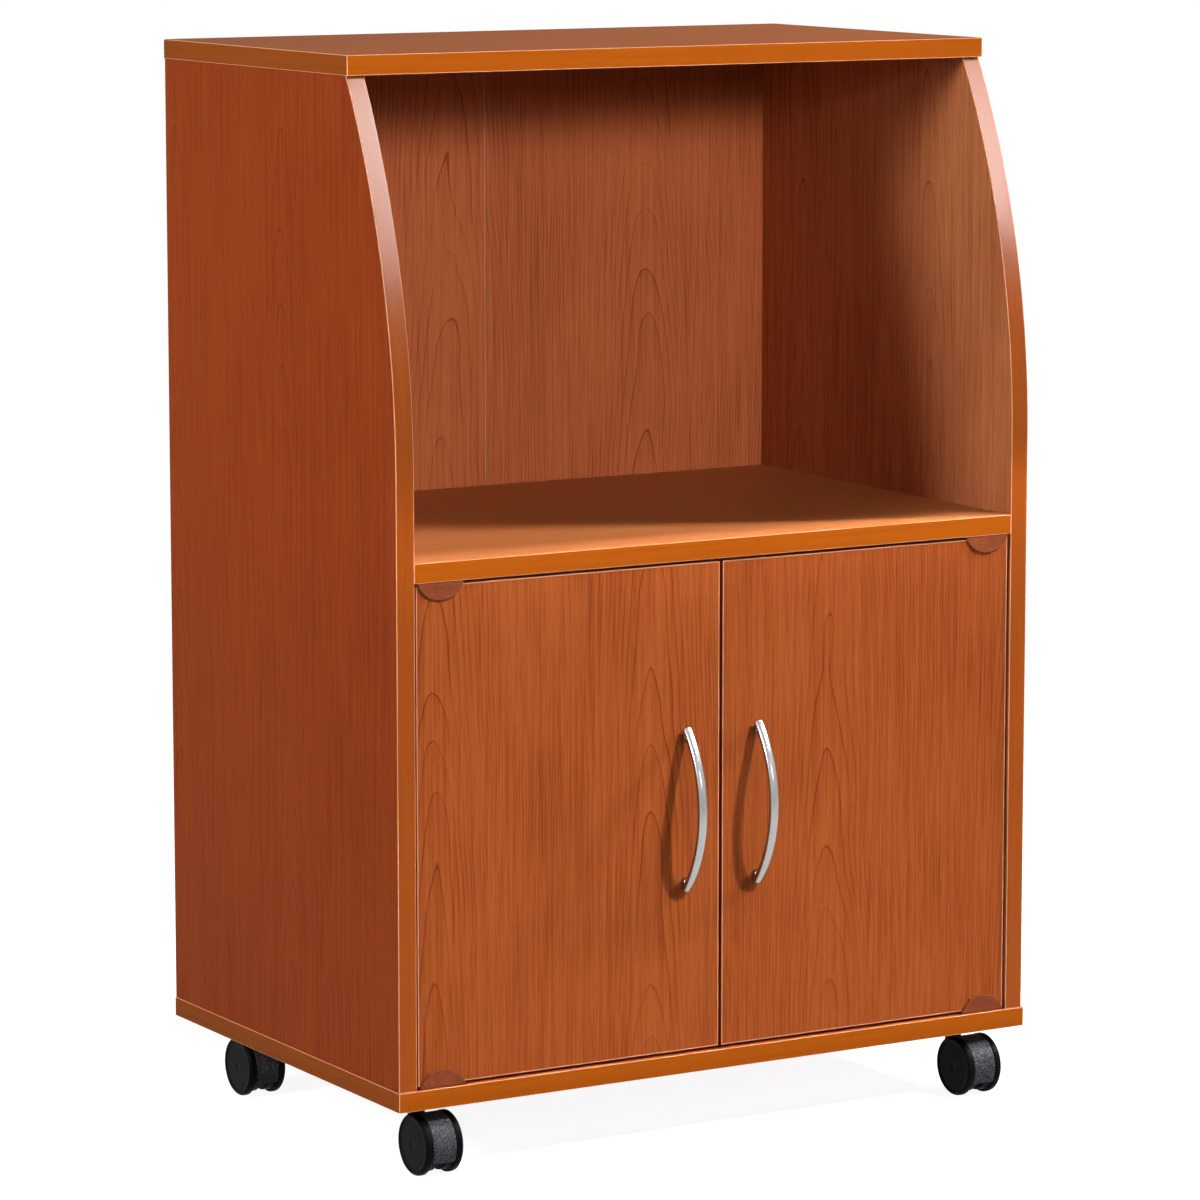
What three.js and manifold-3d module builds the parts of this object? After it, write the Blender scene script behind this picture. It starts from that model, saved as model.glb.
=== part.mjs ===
// Microwave cart: a laminated-board cabinet with an open bay above two inset doors, on four
// twin-wheel casters. Millimetres, +Z up, the front faces -Y, the floor is z = 0 and the middle
// of the overall width and depth is x = 0, y = 0.

import * as THREE from 'three';
import { mergeVertices } from 'three/addons/utils/BufferGeometryUtils.js';
import Module from 'manifold-3d';

const wasm = await Module();
wasm.setup();

// ---------------------------------------------------------------------------
// Driving dimensions
// ---------------------------------------------------------------------------

// carcass
const width = 600; // over the top and bottom panels with their edge strips
const depth = 400; // of the bottom panel with its edge strips
const board = 16; // every laminated board
const strip = 1; // edge strip glued round the boards
const cabinetHeight = 405; // clear height behind the doors
const bayHeight = 376; // clear height of the open bay
const sideStepX = 1; // the sides stand in from the bottom panel's ends
const sideStepY = 2; // and back from its front edge
const topDepth = 324;
const topOverhang = 4; // the top's front edge ahead of the sides' upper front corner
const curveAboveShelf = 65; // the sides' front edge is straight up to here, then curves back
const curveSteps = 20;

// thin back
const backThickness = 4;
const backInset = 6; // its rear face ahead of the carcass's rear face
const grooveDepth = 5;
const grooveFit = 0.3; // all round the back's edges
const joinerWeb = 1.4; // visible width of the joint between the leaves
const joinerFlange = 14;
const joinerFlangeThickness = 1;

// doors
const doorRecess = 4; // door face behind the bottom panel's front edge
const doorGapSide = 2.2;
const doorGapEnd = 2.5; // above and below
const doorGapMiddle = 3;

// hinges
const pivotInset = 21.5; // pivot line from the door's outer edge
const journalRadius = 3;
const journalEndGap = 1; // to the end of its sleeve
const runningFit = 0.3; // radial, round every shaft that turns
const pressFit = 0.3; // round every piece let into another
const bushRadius = 4.5;
const bushSkin = 6; // board left past the sleeve
const leafEdge = 0.5; // cap to the door's outer edge
const leafHeight = 14; // of the half-round cap
const leafProud = 1.5; // cap thickness in front of the door
const leafGap = 0.5; // straight side of the cap to the shelf or bottom panel
const plugHalfWidth = 13; // body behind the cap, let into the door
const plugSkin = 3.5; // door left behind it
const plugHeight = 10;
const leafSteps = 14;

// handles
const handleLength = 136;
const handleProjection = 31; // from the door face
const handleInset = 32.5; // from the door's free edge
const handleBarWidth = 7;
const handleBarDepth = 6;
const handleScrewInset = 8; // screw line from each tip
const handleFootHeight = 3.5;
const handleOverrun = 3; // drawn past the door face, then cut flat
const handleSteps = 18;
const sectionSteps = 12; // a multiple of four, so that the bar has its full width and depth
const sectionPower = 2.8; // squareness of the bar's rounded section

// handle screws
const screwRadius = 2;
const screwBite = 3; // into the handle
const screwTipGap = 0.4;
const screwHeadRadius = 4;
const screwHeadHeight = 2.4;
const screwDoorFit = 0.5;

// magnetic catch
const catchWidth = 60;
const catchDepth = 15;
const catchHeight = 14;
const catchGap = 0.3; // to the strike plates
const magnetWidth = 18;
const magnetHeight = 7;
const magnetRecess = 0.8;
const strikeWidth = 22;
const strikeHeight = 16;
const strikeThickness = 1.2;
const strikeEdge = 1; // to the door's top edge

// casters
const wheelRadius = 25;
const wheelTopGap = 8; // to the underside of the bottom panel
const casterWidth = 34; // over both wheels
const casterTrail = 24; // stem line to axle
const stemInset = 46; // stem line from the bottom panel's front and rear edges
const stemInsetSide = 40; // and from its ends
const stemRadius = 4;
const stemInHood = 15;
const stemTopGap = 1; // to the end of its sleeve
const socketWall = 1.5;
const socketSkin = 3; // board left above the sleeve
const socketFlangeRadius = 10;
const socketFlange = 1.5;
const axleRadius = 2;
const axleEndGap = 0.6; // to the end of the wheel's blind bore
const wheelFaceWall = 3; // from the end of that bore to the outer face
const rimBevelInner = 0.8;
const rimBevelOuter = 1.6;
const rimLand = 2.4; // flat ring of the outer face inside the bevel
const faceDish = 0.7; // depth of the face inside that ring
const webThickness = 6.4; // hood plate between the wheels
const wheelSideGap = 0.3;
const treadWidth = 6.5; // full-radius rim at the outer side of each wheel
const hoodThickness = 1.8;
const hoodGap = 0.5;
const hoodDrop = 0.4; // hood surface below the rim
const hoodRearAngle = 20; // degrees above the rear horizontal, seen from the axle
const hoodFrontAngle = 210;
const hoodSteps = 20;
const plateEyeRadius = 6; // of the hood plate round the axle
const bossRadius = 7;
const bossGap = 0.6; // to the socket's flange
const bossFloor = 2; // under the stem
const wheelSides = 28;
const roundSides = 16; // of small round pieces

const overcut = 1; // how far a cutting shape runs past the surface that it opens

// ---------------------------------------------------------------------------
// Places worked out from them
// ---------------------------------------------------------------------------

const handleReach = handleProjection - doorRecess; // in front of the bottom panel
const backY = (depth + handleReach) / 2;
const frontY = backY - depth;
const bottomZ = 2 * wheelRadius + wheelTopGap;
const cabinetFloorZ = bottomZ + board;
const shelfUnderZ = cabinetFloorZ + cabinetHeight;
const shelfZ = shelfUnderZ + board;
const topUnderZ = shelfZ + bayHeight;

const sideOuterX = width / 2 - sideStepX;
const sideInnerX = sideOuterX - board;
const sideFrontY = frontY + sideStepY;
const topFrontY = backY - topDepth;
const sideTopFrontY = topFrontY + topOverhang;
const curveStartZ = shelfZ + curveAboveShelf;
const curveRise = topUnderZ - curveStartZ;
const curveRun = sideTopFrontY - sideFrontY;
const curveRadius = (curveRise ** 2 + curveRun ** 2) / (2 * curveRun);

const backRearY = backY - backInset;
const backFrontY = backRearY - backThickness;
const tongue = grooveDepth - grooveFit;

const doorFaceY = frontY + doorRecess;
const doorBackY = doorFaceY + board;
const doorBottomZ = cabinetFloorZ + doorGapEnd;
const doorTopZ = shelfUnderZ - doorGapEnd;
const doorMiddleZ = (doorBottomZ + doorTopZ) / 2;
const doorWidth = sideInnerX - doorGapSide - doorGapMiddle / 2;
const doorHeight = doorTopZ - doorBottomZ;
const pivotX = sideInnerX - doorGapSide - pivotInset;
const pivotY = doorFaceY + board / 2;
const leafHalfWidth = pivotInset - leafEdge; // at its straight side
const plugDepth = board - plugSkin;
const bushLength = board - bushSkin;
const journalLength = bushLength - journalEndGap; // inside the sleeve
const leafRadius = (leafHalfWidth ** 2 + leafHeight ** 2) / (2 * leafHeight);

const wheelOuterX = casterWidth / 2;
const wheelInnerX = webThickness / 2 + wheelSideGap;
const rimInnerX = wheelOuterX - treadWidth;
const hoodRadius = wheelRadius - hoodDrop;
const hoodInnerRadius = hoodRadius - hoodThickness;
const hubRadius = hoodInnerRadius - hoodGap; // part of the wheel that turns under the hood
const hoodHalfWidth = rimInnerX - wheelSideGap;
const axleZ = wheelRadius - bottomZ; // from the underside of the bottom panel
const stemX = width / 2 - stemInsetSide;
const stemFrontY = frontY + stemInset;
const stemRearY = backY - stemInset;
const socketRadius = stemRadius + runningFit + socketWall;
const socketLength = board - socketSkin;

// ---------------------------------------------------------------------------
// Materials
// ---------------------------------------------------------------------------

function finish(color, roughness, metalness) {
  return () => new THREE.MeshStandardMaterial({ color, roughness, metalness });
}

const cherryLaminate = finish(0x9c4a28, 0.45, 0);
const cherryDoor = finish(0xae5528, 0.42, 0);
const topLaminate = finish(0xa05c3a, 0.4, 0);
const backBoard = finish(0x96502f, 0.55, 0);
const honeyStrip = finish(0xbc6018, 0.4, 0);
const hingePlastic = finish(0x97482f, 0.5, 0);
const satinMetal = finish(0xc9c6c0, 0.32, 1);
const zincSteel = finish(0xa9acae, 0.35, 1);
const palePlastic = finish(0xb8a58c, 0.5, 0);
const whitePlastic = finish(0xd9d6cf, 0.5, 0);
const blackPlastic = finish(0x2a2b2d, 0.45, 0);

// ---------------------------------------------------------------------------
// Shape helpers
// ---------------------------------------------------------------------------

function toSolid(geometry) {
  const bare = geometry.clone();
  bare.deleteAttribute('normal');
  bare.deleteAttribute('uv');
  const merged = mergeVertices(bare, 1e-4);
  return new wasm.Manifold(new wasm.Mesh({
    numProp: 3,
    vertProperties: new Float32Array(merged.attributes.position.array),
    triVerts: new Uint32Array(merged.index.array),
  }));
}

function toGeometry(solid) {
  const mesh = solid.getMesh();
  const geometry = new THREE.BufferGeometry();
  geometry.setAttribute('position', new THREE.BufferAttribute(mesh.vertProperties.slice(), 3));
  geometry.setIndex(new THREE.BufferAttribute(mesh.triVerts.slice(), 1));
  return geometry;
}

function join(base, ...others) {
  return toGeometry(others.reduce((sum, other) => sum.add(toSolid(other)), toSolid(base)));
}

function cut(base, ...tools) {
  return toGeometry(tools.reduce((rest, tool) => rest.subtract(toSolid(tool)), toSolid(base)));
}

function box([x0, x1], [y0, y1], [z0, z1]) {
  return new THREE.BoxGeometry(x1 - x0, y1 - y0, z1 - z0)
    .translate((x0 + x1) / 2, (y0 + y1) / 2, (z0 + z1) / 2);
}

// Solid of revolution about +Z from [radius, z] pairs.
function turned(profile, sides) {
  const points = profile.map(([radius, z]) => new THREE.Vector2(radius, z));
  return new THREE.LatheGeometry(points, sides).rotateX(Math.PI / 2);
}

// Round bar along +Z from z0 to z1.
function rod(radius, z0, z1, sides = roundSides) {
  return turned([[0, z0], [radius, z0], [radius, z1], [0, z1]], sides);
}

// Sleeve along +Z from z0 to z1.
function sleeve(outer, inner, z0, z1) {
  return turned([[inner, z0], [outer, z0], [outer, z1], [inner, z1], [inner, z0]], roundSides);
}

// Flat outline, with any holes, given thickness along +Z from z0 to z1.
function slab(outline, z0, z1, holes = []) {
  const shape = new THREE.Shape(outline.map(([x, y]) => new THREE.Vector2(x, y)));
  shape.holes = holes.map((hole) => new THREE.Path(hole.map(([x, y]) => new THREE.Vector2(x, y))));
  return new THREE.ExtrudeGeometry(shape, { depth: z1 - z0, bevelEnabled: false })
    .translate(0, 0, z0);
}

// Outline of (y, z) points given thickness along +X from x0 to x1.
function slabAlongX(outline, x0, x1) {
  return slab(outline, x0, x1).rotateX(Math.PI / 2).rotateZ(Math.PI / 2);
}

// Outline of (x, z) points, with any holes, given thickness along +Y from y0 to y1.
function slabAlongY(outline, y0, y1, holes = []) {
  return slab(outline, -y1, -y0, holes).rotateX(Math.PI / 2);
}

// A mirrored geometry, with its faces turned out again.
function mirrored(geometry, x, y, z) {
  const copy = geometry.index ? geometry.toNonIndexed() : geometry.clone();
  copy.scale(x, y, z);
  if (x * y * z < 0) {
    const position = copy.attributes.position;
    for (let i = 0; i < position.count; i += 3) {
      const a = new THREE.Vector3().fromBufferAttribute(position, i);
      const b = new THREE.Vector3().fromBufferAttribute(position, i + 1);
      position.setXYZ(i, b.x, b.y, b.z);
      position.setXYZ(i + 1, a.x, a.y, a.z);
    }
  }
  return copy;
}

// Closed skin over a row of rings with equally many points each.
function loft(rings) {
  const count = rings[0].length;
  const positions = [];
  const triangle = (...corners) => corners.forEach((p) => positions.push(p.x, p.y, p.z));
  for (let i = 0; i + 1 < rings.length; i += 1) {
    for (let j = 0; j < count; j += 1) {
      const k = (j + 1) % count;
      triangle(rings[i][j], rings[i + 1][k], rings[i][k]);
      triangle(rings[i][j], rings[i + 1][j], rings[i + 1][k]);
    }
  }
  for (let j = 1; j + 1 < count; j += 1) {
    triangle(rings[0][0], rings[0][j], rings[0][j + 1]);
    const last = rings[rings.length - 1];
    triangle(last[0], last[j + 1], last[j]);
  }
  const geometry = new THREE.BufferGeometry();
  geometry.setAttribute('position', new THREE.Float32BufferAttribute(positions, 3));
  return geometry;
}

function arc(centreA, centreB, radius, fromDegrees, toDegrees, steps) {
  return Array.from({ length: steps + 1 }, (_, i) => {
    const angle = THREE.MathUtils.degToRad(fromDegrees + ((toDegrees - fromDegrees) * i) / steps);
    return [centreA + radius * Math.cos(angle), centreB + radius * Math.sin(angle)];
  });
}

function rectangle(halfWidth, y0, y1) {
  return [[-halfWidth, y0], [halfWidth, y0], [halfWidth, y1], [-halfWidth, y1]];
}

function piece(parent, name, geometry, material, x = 0, y = 0, z = 0) {
  const mesh = new THREE.Mesh(geometry, material());
  mesh.name = name;
  mesh.position.set(x, y, z);
  parent.add(mesh);
  return mesh;
}

const cart = new THREE.Group();
const hands = [['left', -1], ['right', 1]];
const ends = [['top', 1], ['bottom', -1]];

// ---------------------------------------------------------------------------
// Top and bottom panels
// ---------------------------------------------------------------------------

// Groove for the thin back, cut between two heights.
function backGroove(z0, z1) {
  const halfWidth = sideInnerX + grooveDepth;
  return box([-halfWidth, halfWidth], [backFrontY - grooveFit, backRearY + grooveFit], [z0, z1]);
}

function edgedPanel(name, y0, y1, z0, material, cuts) {
  const core = rectangle(width / 2 - strip, y0 + strip, y1 - strip);
  piece(cart, `${name}_panel`, cut(slab(core, 0, board), ...cuts), material, 0, 0, z0);
  const rim = slab(rectangle(width / 2, y0, y1), 0, board, [core]);
  piece(cart, `${name}_band`, rim, honeyStrip, 0, 0, z0);
}

const bushHole = rod(bushRadius + pressFit, -overcut, bushLength + pressFit);
const socketHole = rod(socketRadius + pressFit, -overcut, socketLength + pressFit);

const bottomCuts = [backGroove(board - grooveDepth, board + overcut)];
for (const [, side] of hands) {
  bottomCuts.push(mirrored(bushHole, 1, 1, -1).translate(side * pivotX, pivotY, board));
  for (const stemY of [stemFrontY, stemRearY]) {
    bottomCuts.push(socketHole.clone().translate(side * stemX, stemY, 0));
  }
}
edgedPanel('bottom', frontY, backY, bottomZ, cherryLaminate, bottomCuts);
const topCuts = [backGroove(-overcut, grooveDepth)];
edgedPanel('top', topFrontY, backY, topUnderZ, topLaminate, topCuts);

// ---------------------------------------------------------------------------
// Side panels: straight front edge that curves back to the shallower top
// ---------------------------------------------------------------------------

// Points (y, z) of the front edge, set in from the strip's outer face by inset.
function sideFrontEdge(inset) {
  const radius = curveRadius - inset;
  const sweep = THREE.MathUtils.radToDeg(Math.asin(curveRise / radius));
  const curve = arc(sideFrontY + curveRadius, curveStartZ, radius, 180, 180 - sweep, curveSteps);
  curve[curveSteps][1] = topUnderZ;
  return [[sideFrontY + inset, cabinetFloorZ], ...curve];
}

for (const [hand, side] of hands) {
  const x0 = side > 0 ? sideInnerX : -sideOuterX;
  const coreEdge = sideFrontEdge(strip);
  const core = [...coreEdge, [backY, topUnderZ], [backY, cabinetFloorZ]];
  const groove = backGroove(cabinetFloorZ - overcut, topUnderZ + overcut).translate(-x0, 0, 0);
  const panel = cut(slabAlongX(core, 0, board), groove);
  piece(cart, `side_panel_${hand}`, panel, cherryLaminate, x0);
  const band = [...sideFrontEdge(0), ...coreEdge.toReversed()];
  piece(cart, `side_band_${hand}`, slabAlongX(band, 0, board), honeyStrip, x0);
}

// ---------------------------------------------------------------------------
// Shelf
// ---------------------------------------------------------------------------

const shelfBackY = backFrontY - grooveFit;
const shelfCuts = hands.map(([, side]) => bushHole.clone().translate(side * pivotX, pivotY, 0));
const shelfCore = slab(rectangle(sideInnerX, sideFrontY + strip, shelfBackY), 0, board);
piece(cart, 'shelf_panel', cut(shelfCore, ...shelfCuts), cherryLaminate, 0, 0, shelfUnderZ);
const shelfStrip = slab(rectangle(sideInnerX, sideFrontY, sideFrontY + strip), 0, board);
piece(cart, 'shelf_band', shelfStrip, honeyStrip, 0, 0, shelfUnderZ);

// ---------------------------------------------------------------------------
// Thin back in two leaves, held together by a T-section joiner
// ---------------------------------------------------------------------------

const leafEdgeX = joinerWeb / 2 + grooveFit;
const backSpanZ = [cabinetFloorZ - tongue, topUnderZ + tongue];
for (const [hand, side] of hands) {
  const spanX = [side * leafEdgeX, side * (sideInnerX + tongue)].sort((a, b) => a - b);
  piece(cart, `back_panel_${hand}`, box(spanX, [backFrontY, backRearY], backSpanZ), backBoard);
}
const joinerOutline = [
  [-joinerWeb / 2, backFrontY],
  [joinerWeb / 2, backFrontY],
  [joinerWeb / 2, backRearY],
  [joinerFlange / 2, backRearY],
  [joinerFlange / 2, backRearY + joinerFlangeThickness],
  [-joinerFlange / 2, backRearY + joinerFlangeThickness],
  [-joinerFlange / 2, backRearY],
  [-joinerWeb / 2, backRearY],
];
const joiner = slab(joinerOutline, cabinetFloorZ + grooveFit, topUnderZ - grooveFit);
piece(cart, 'back_joiner', joiner, palePlastic);

// ---------------------------------------------------------------------------
// Doors. Each is drawn as a left door in a group on its pivot line, at the door's middle height;
// the right door is the mirror image.
// ---------------------------------------------------------------------------

const doorOuterX = -pivotInset;
const doorFreeX = doorOuterX + doorWidth;
const halfHeight = doorHeight / 2;
const faceY = -board / 2;
const handleX = doorFreeX - handleInset;
const handleScrewZ = handleLength / 2 - handleScrewInset;

// Half-round outline (x, z) of the hinge cap at the top corner.
function leafOutline() {
  const chordZ = halfHeight + doorGapEnd - leafGap;
  const centreZ = chordZ - leafHeight + leafRadius;
  const half = THREE.MathUtils.radToDeg(Math.asin(leafHalfWidth / leafRadius));
  return arc(0, centreZ, leafRadius, 270 - half, 270 + half, leafSteps);
}

function hingeLeaf() {
  const cap = slabAlongY(leafOutline(), faceY - leafProud, faceY);
  const plugTop = halfHeight - pressFit;
  const plug = box(
    [-plugHalfWidth, plugHalfWidth],
    [faceY - leafProud / 2, faceY + plugDepth],
    [halfHeight - plugHeight, plugTop],
  );
  const journalTop = halfHeight + doorGapEnd + journalLength;
  return join(cap, plug, rod(journalRadius, plugTop - overcut, journalTop));
}

function leafMortise() {
  return box(
    [-plugHalfWidth - pressFit, plugHalfWidth + pressFit],
    [faceY - overcut, faceY + plugDepth + pressFit],
    [halfHeight - plugHeight - pressFit, halfHeight + overcut],
  );
}

function doorPanel() {
  const core = box(
    [doorOuterX + strip, doorFreeX - strip],
    [faceY, faceY + board],
    [-halfHeight + strip, halfHeight - strip],
  );
  const screwHole = rod(screwRadius + screwDoorFit, faceY - overcut, faceY + board + overcut)
    .rotateX(-Math.PI / 2);
  const cuts = ends.flatMap(([, end]) => [
    mirrored(leafMortise(), 1, 1, end),
    screwHole.clone().translate(handleX, 0, end * handleScrewZ),
  ]);
  return cut(core, ...cuts);
}

// Strip round the door, which the hinge mortises part into a long and a short run.
function doorBand(freeSide) {
  const outer = [
    [doorOuterX, -halfHeight],
    [doorFreeX, -halfHeight],
    [doorFreeX, halfHeight],
    [doorOuterX, halfHeight],
  ];
  const inner = [
    [doorOuterX + strip, -halfHeight + strip],
    [doorOuterX + strip, halfHeight - strip],
    [doorFreeX - strip, halfHeight - strip],
    [doorFreeX - strip, -halfHeight + strip],
  ];
  const ring = slabAlongY(outer, faceY, faceY + board, [inner]);
  const reach = doorWidth + pivotInset;
  const far = freeSide ? -reach : reach;
  const near = freeSide ? plugHalfWidth + pressFit : -plugHalfWidth - pressFit;
  const spanX = [far, near].sort((a, b) => a - b);
  return cut(ring, box(spanX, [-board, board], [-doorHeight, doorHeight]));
}

// Rings of the handle's rounded bar, bowed out of the door face and run on past it at both ends.
function handleBar() {
  const outerRadius = ((handleLength / 2) ** 2 + handleProjection ** 2) / (2 * handleProjection);
  const middleRadius = outerRadius - handleBarDepth / 2;
  const centreY = faceY - handleProjection + outerRadius;
  const sweep = Math.acos(1 - handleProjection / outerRadius) + handleOverrun / outerRadius;
  const rings = [];
  for (let i = 0; i <= handleSteps; i += 1) {
    const angle = -sweep + (2 * sweep * i) / handleSteps;
    const ring = [];
    for (let j = 0; j < sectionSteps; j += 1) {
      const turn = (2 * Math.PI * j) / sectionSteps;
      const c = Math.cos(turn);
      const s = Math.sin(turn);
      const size = (Math.abs(c) ** sectionPower + Math.abs(s) ** sectionPower) ** (-1 / sectionPower);
      const radius = middleRadius + (handleBarDepth / 2) * s * size;
      ring.push(new THREE.Vector3(
        (handleBarWidth / 2) * c * size,
        centreY - radius * Math.cos(angle),
        radius * Math.sin(angle),
      ));
    }
    rings.push(ring);
  }
  return loft(rings);
}

function handle() {
  const foot = rod(handleBarWidth / 2, 0, handleFootHeight).rotateX(Math.PI / 2);
  const bore = rod(screwRadius + pressFit, -overcut, screwBite + screwTipGap).rotateX(Math.PI / 2);
  const behindFace = box(
    [-handleBarWidth, handleBarWidth],
    [faceY, faceY + handleLength],
    [-handleLength, handleLength],
  );
  const bar = cut(handleBar(), behindFace);
  const feet = ends.map(([, end]) => foot.clone().translate(0, faceY, end * handleScrewZ));
  const bores = ends.map(([, end]) => bore.clone().translate(0, faceY, end * handleScrewZ));
  return cut(join(bar, ...feet), ...bores);
}

// Screw along -Y from the door's inner face, its head against that face.
function handleScrew() {
  const profile = [
    [0, -board - screwBite],
    [screwRadius, -board - screwBite],
    [screwRadius, 0],
    [screwHeadRadius, 0],
    [screwHeadRadius, screwHeadHeight / 2],
    [screwHeadRadius / 2, screwHeadHeight],
    [0, screwHeadHeight],
  ];
  return turned(profile, roundSides).rotateX(-Math.PI / 2);
}

const strikeZ = halfHeight - strikeEdge - strikeHeight / 2;
const strikeX = doorFreeX - catchWidth / 4;

for (const [hand, side] of hands) {
  const door = new THREE.Group();
  door.position.set(side * pivotX, pivotY, doorMiddleZ);
  cart.add(door);
  const flip = -side;
  const add = (name, geometry, material, x = 0, y = 0, z = 0) => (
    piece(door, name, mirrored(geometry, flip, 1, 1), material, flip * x, y, z)
  );
  add(`door_panel_${hand}`, doorPanel(), cherryDoor);
  add(`door_band_${hand}`, doorBand(true), honeyStrip);
  add(`door_hinge_band_${hand}`, doorBand(false), honeyStrip);
  add(`handle_${hand}`, handle(), satinMetal, handleX);
  const strike = box(
    [-strikeWidth / 2, strikeWidth / 2],
    [0, strikeThickness],
    [-strikeHeight / 2, strikeHeight / 2],
  );
  add(`strike_plate_${hand}`, strike, zincSteel, strikeX, faceY + board, strikeZ);
  for (const [end, up] of ends) {
    add(`hinge_leaf_${hand}_${end}`, mirrored(hingeLeaf(), 1, 1, up), hingePlastic);
    add(`handle_screw_${hand}_${end}`, handleScrew(), zincSteel, handleX, faceY + board, up * handleScrewZ);
  }
}

// ---------------------------------------------------------------------------
// Hinge sleeves in the shelf and the bottom panel
// ---------------------------------------------------------------------------

const bush = sleeve(bushRadius, journalRadius + runningFit, 0, bushLength);
for (const [hand, side] of hands) {
  piece(cart, `hinge_bush_${hand}_top`, bush.clone(), whitePlastic, side * pivotX, pivotY, shelfUnderZ);
  const low = mirrored(bush, 1, 1, -1);
  piece(cart, `hinge_bush_${hand}_bottom`, low, whitePlastic, side * pivotX, pivotY, cabinetFloorZ);
}

// ---------------------------------------------------------------------------
// Double magnetic catch under the shelf
// ---------------------------------------------------------------------------

function catchHousing() {
  const body = box([-catchWidth / 2, catchWidth / 2], [0, catchDepth], [-catchHeight, 0]);
  const pocket = box(
    [-magnetWidth / 2, magnetWidth / 2],
    [-overcut, magnetRecess],
    [-(catchHeight + magnetHeight) / 2, -(catchHeight - magnetHeight) / 2],
  );
  const pockets = hands.map(([, side]) => pocket.clone().translate((side * catchWidth) / 4, 0, 0));
  return cut(body, ...pockets);
}
const catchY = doorBackY + strikeThickness + catchGap;
piece(cart, 'catch_housing', catchHousing(), whitePlastic, 0, catchY, shelfUnderZ);

// ---------------------------------------------------------------------------
// Casters. Each group's origin is on the stem line at the bottom panel's underside; at rest every
// wheel trails towards the front.
// ---------------------------------------------------------------------------

const socketProfile = [
  [stemRadius + runningFit, -socketFlange],
  [socketFlangeRadius, -socketFlange],
  [socketFlangeRadius, 0],
  [socketRadius, 0],
  [socketRadius, socketLength],
  [stemRadius + runningFit, socketLength],
  [stemRadius + runningFit, -socketFlange],
];

const bossTopZ = -socketFlange - bossGap;
const stemBottomZ = bossTopZ - stemInHood;

// Hood (seen along X): shell over the wheels, plate between them, and the boss round the stem.
function casterHood() {
  const shellOuter = arc(-casterTrail, axleZ, hoodRadius, hoodRearAngle, hoodFrontAngle, hoodSteps);
  const shellInner = arc(-casterTrail, axleZ, hoodInnerRadius, hoodFrontAngle, hoodRearAngle, hoodSteps);
  const shell = slabAlongX([...shellOuter, ...shellInner], -hoodHalfWidth, hoodHalfWidth);
  const plateOutline = [
    ...arc(-casterTrail, axleZ, hoodRadius - hoodThickness / 2, hoodRearAngle, hoodFrontAngle, hoodSteps),
    ...arc(-casterTrail, axleZ, plateEyeRadius, hoodFrontAngle, hoodRearAngle + 360, roundSides / 2),
  ];
  const plate = slabAlongX(plateOutline, -webThickness / 2, webThickness / 2);
  const onAxle = (radius, sides) => rod(radius, -casterWidth, casterWidth, sides)
    .rotateY(Math.PI / 2)
    .translate(0, -casterTrail, axleZ);
  const boss = cut(
    rod(bossRadius, stemBottomZ - bossFloor, bossTopZ),
    onAxle(hoodInnerRadius, wheelSides),
  );
  const stemHole = rod(stemRadius + pressFit, stemBottomZ - pressFit, bossTopZ + overcut);
  return cut(join(shell, plate, boss), stemHole, onAxle(axleRadius + pressFit, roundSides));
}

// Wheel turned about Z and laid along X; its inner face is at x = 0, the outer face at +X.
function casterWheel() {
  const wide = wheelOuterX - wheelInnerX;
  const rimStart = rimInnerX - wheelInnerX;
  const boreEnd = wide - wheelFaceWall;
  const profile = [
    [0, boreEnd],
    [axleRadius + runningFit, boreEnd],
    [axleRadius + runningFit, 0],
    [hubRadius, 0],
    [hubRadius, rimStart],
    [wheelRadius - rimBevelInner, rimStart],
    [wheelRadius, rimStart + rimBevelInner],
    [wheelRadius, wide - rimBevelOuter],
    [wheelRadius - rimBevelOuter, wide],
    [wheelRadius - rimBevelOuter - rimLand, wide],
    [wheelRadius - rimBevelOuter - rimLand - faceDish, wide - faceDish],
    [0, wide - faceDish],
  ];
  return turned(profile, wheelSides).rotateY(Math.PI / 2);
}

const socket = turned(socketProfile, roundSides);
const stem = rod(stemRadius, stemBottomZ, socketLength - stemTopGap);
const axleEnd = wheelOuterX - wheelFaceWall - axleEndGap;
const axle = rod(axleRadius, -axleEnd, axleEnd).rotateY(Math.PI / 2);
const hood = casterHood();
const wheel = casterWheel();

for (const [place, stemY] of [['front', stemFrontY], ['rear', stemRearY]]) {
  for (const [hand, side] of hands) {
    const tag = `${place}_${hand}`;
    const caster = new THREE.Group();
    caster.position.set(side * stemX, stemY, bottomZ);
    cart.add(caster);
    piece(caster, `caster_socket_${tag}`, socket.clone(), whitePlastic);
    piece(caster, `caster_stem_${tag}`, stem.clone(), zincSteel);
    piece(caster, `caster_hood_${tag}`, hood.clone(), blackPlastic);
    piece(caster, `caster_axle_${tag}`, axle.clone(), zincSteel, 0, -casterTrail, axleZ);
    const left = mirrored(wheel, -1, 1, 1);
    piece(caster, `caster_wheel_a_${tag}`, left, blackPlastic, -wheelInnerX, -casterTrail, axleZ);
    piece(caster, `caster_wheel_b_${tag}`, wheel.clone(), blackPlastic, wheelInnerX, -casterTrail, axleZ);
  }
}

export default cart;
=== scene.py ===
"""The looks of the microwave cart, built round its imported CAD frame. Metres, +Z up, front at -Y."""

import math

import bmesh
import bpy
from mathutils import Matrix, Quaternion, Vector


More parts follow.
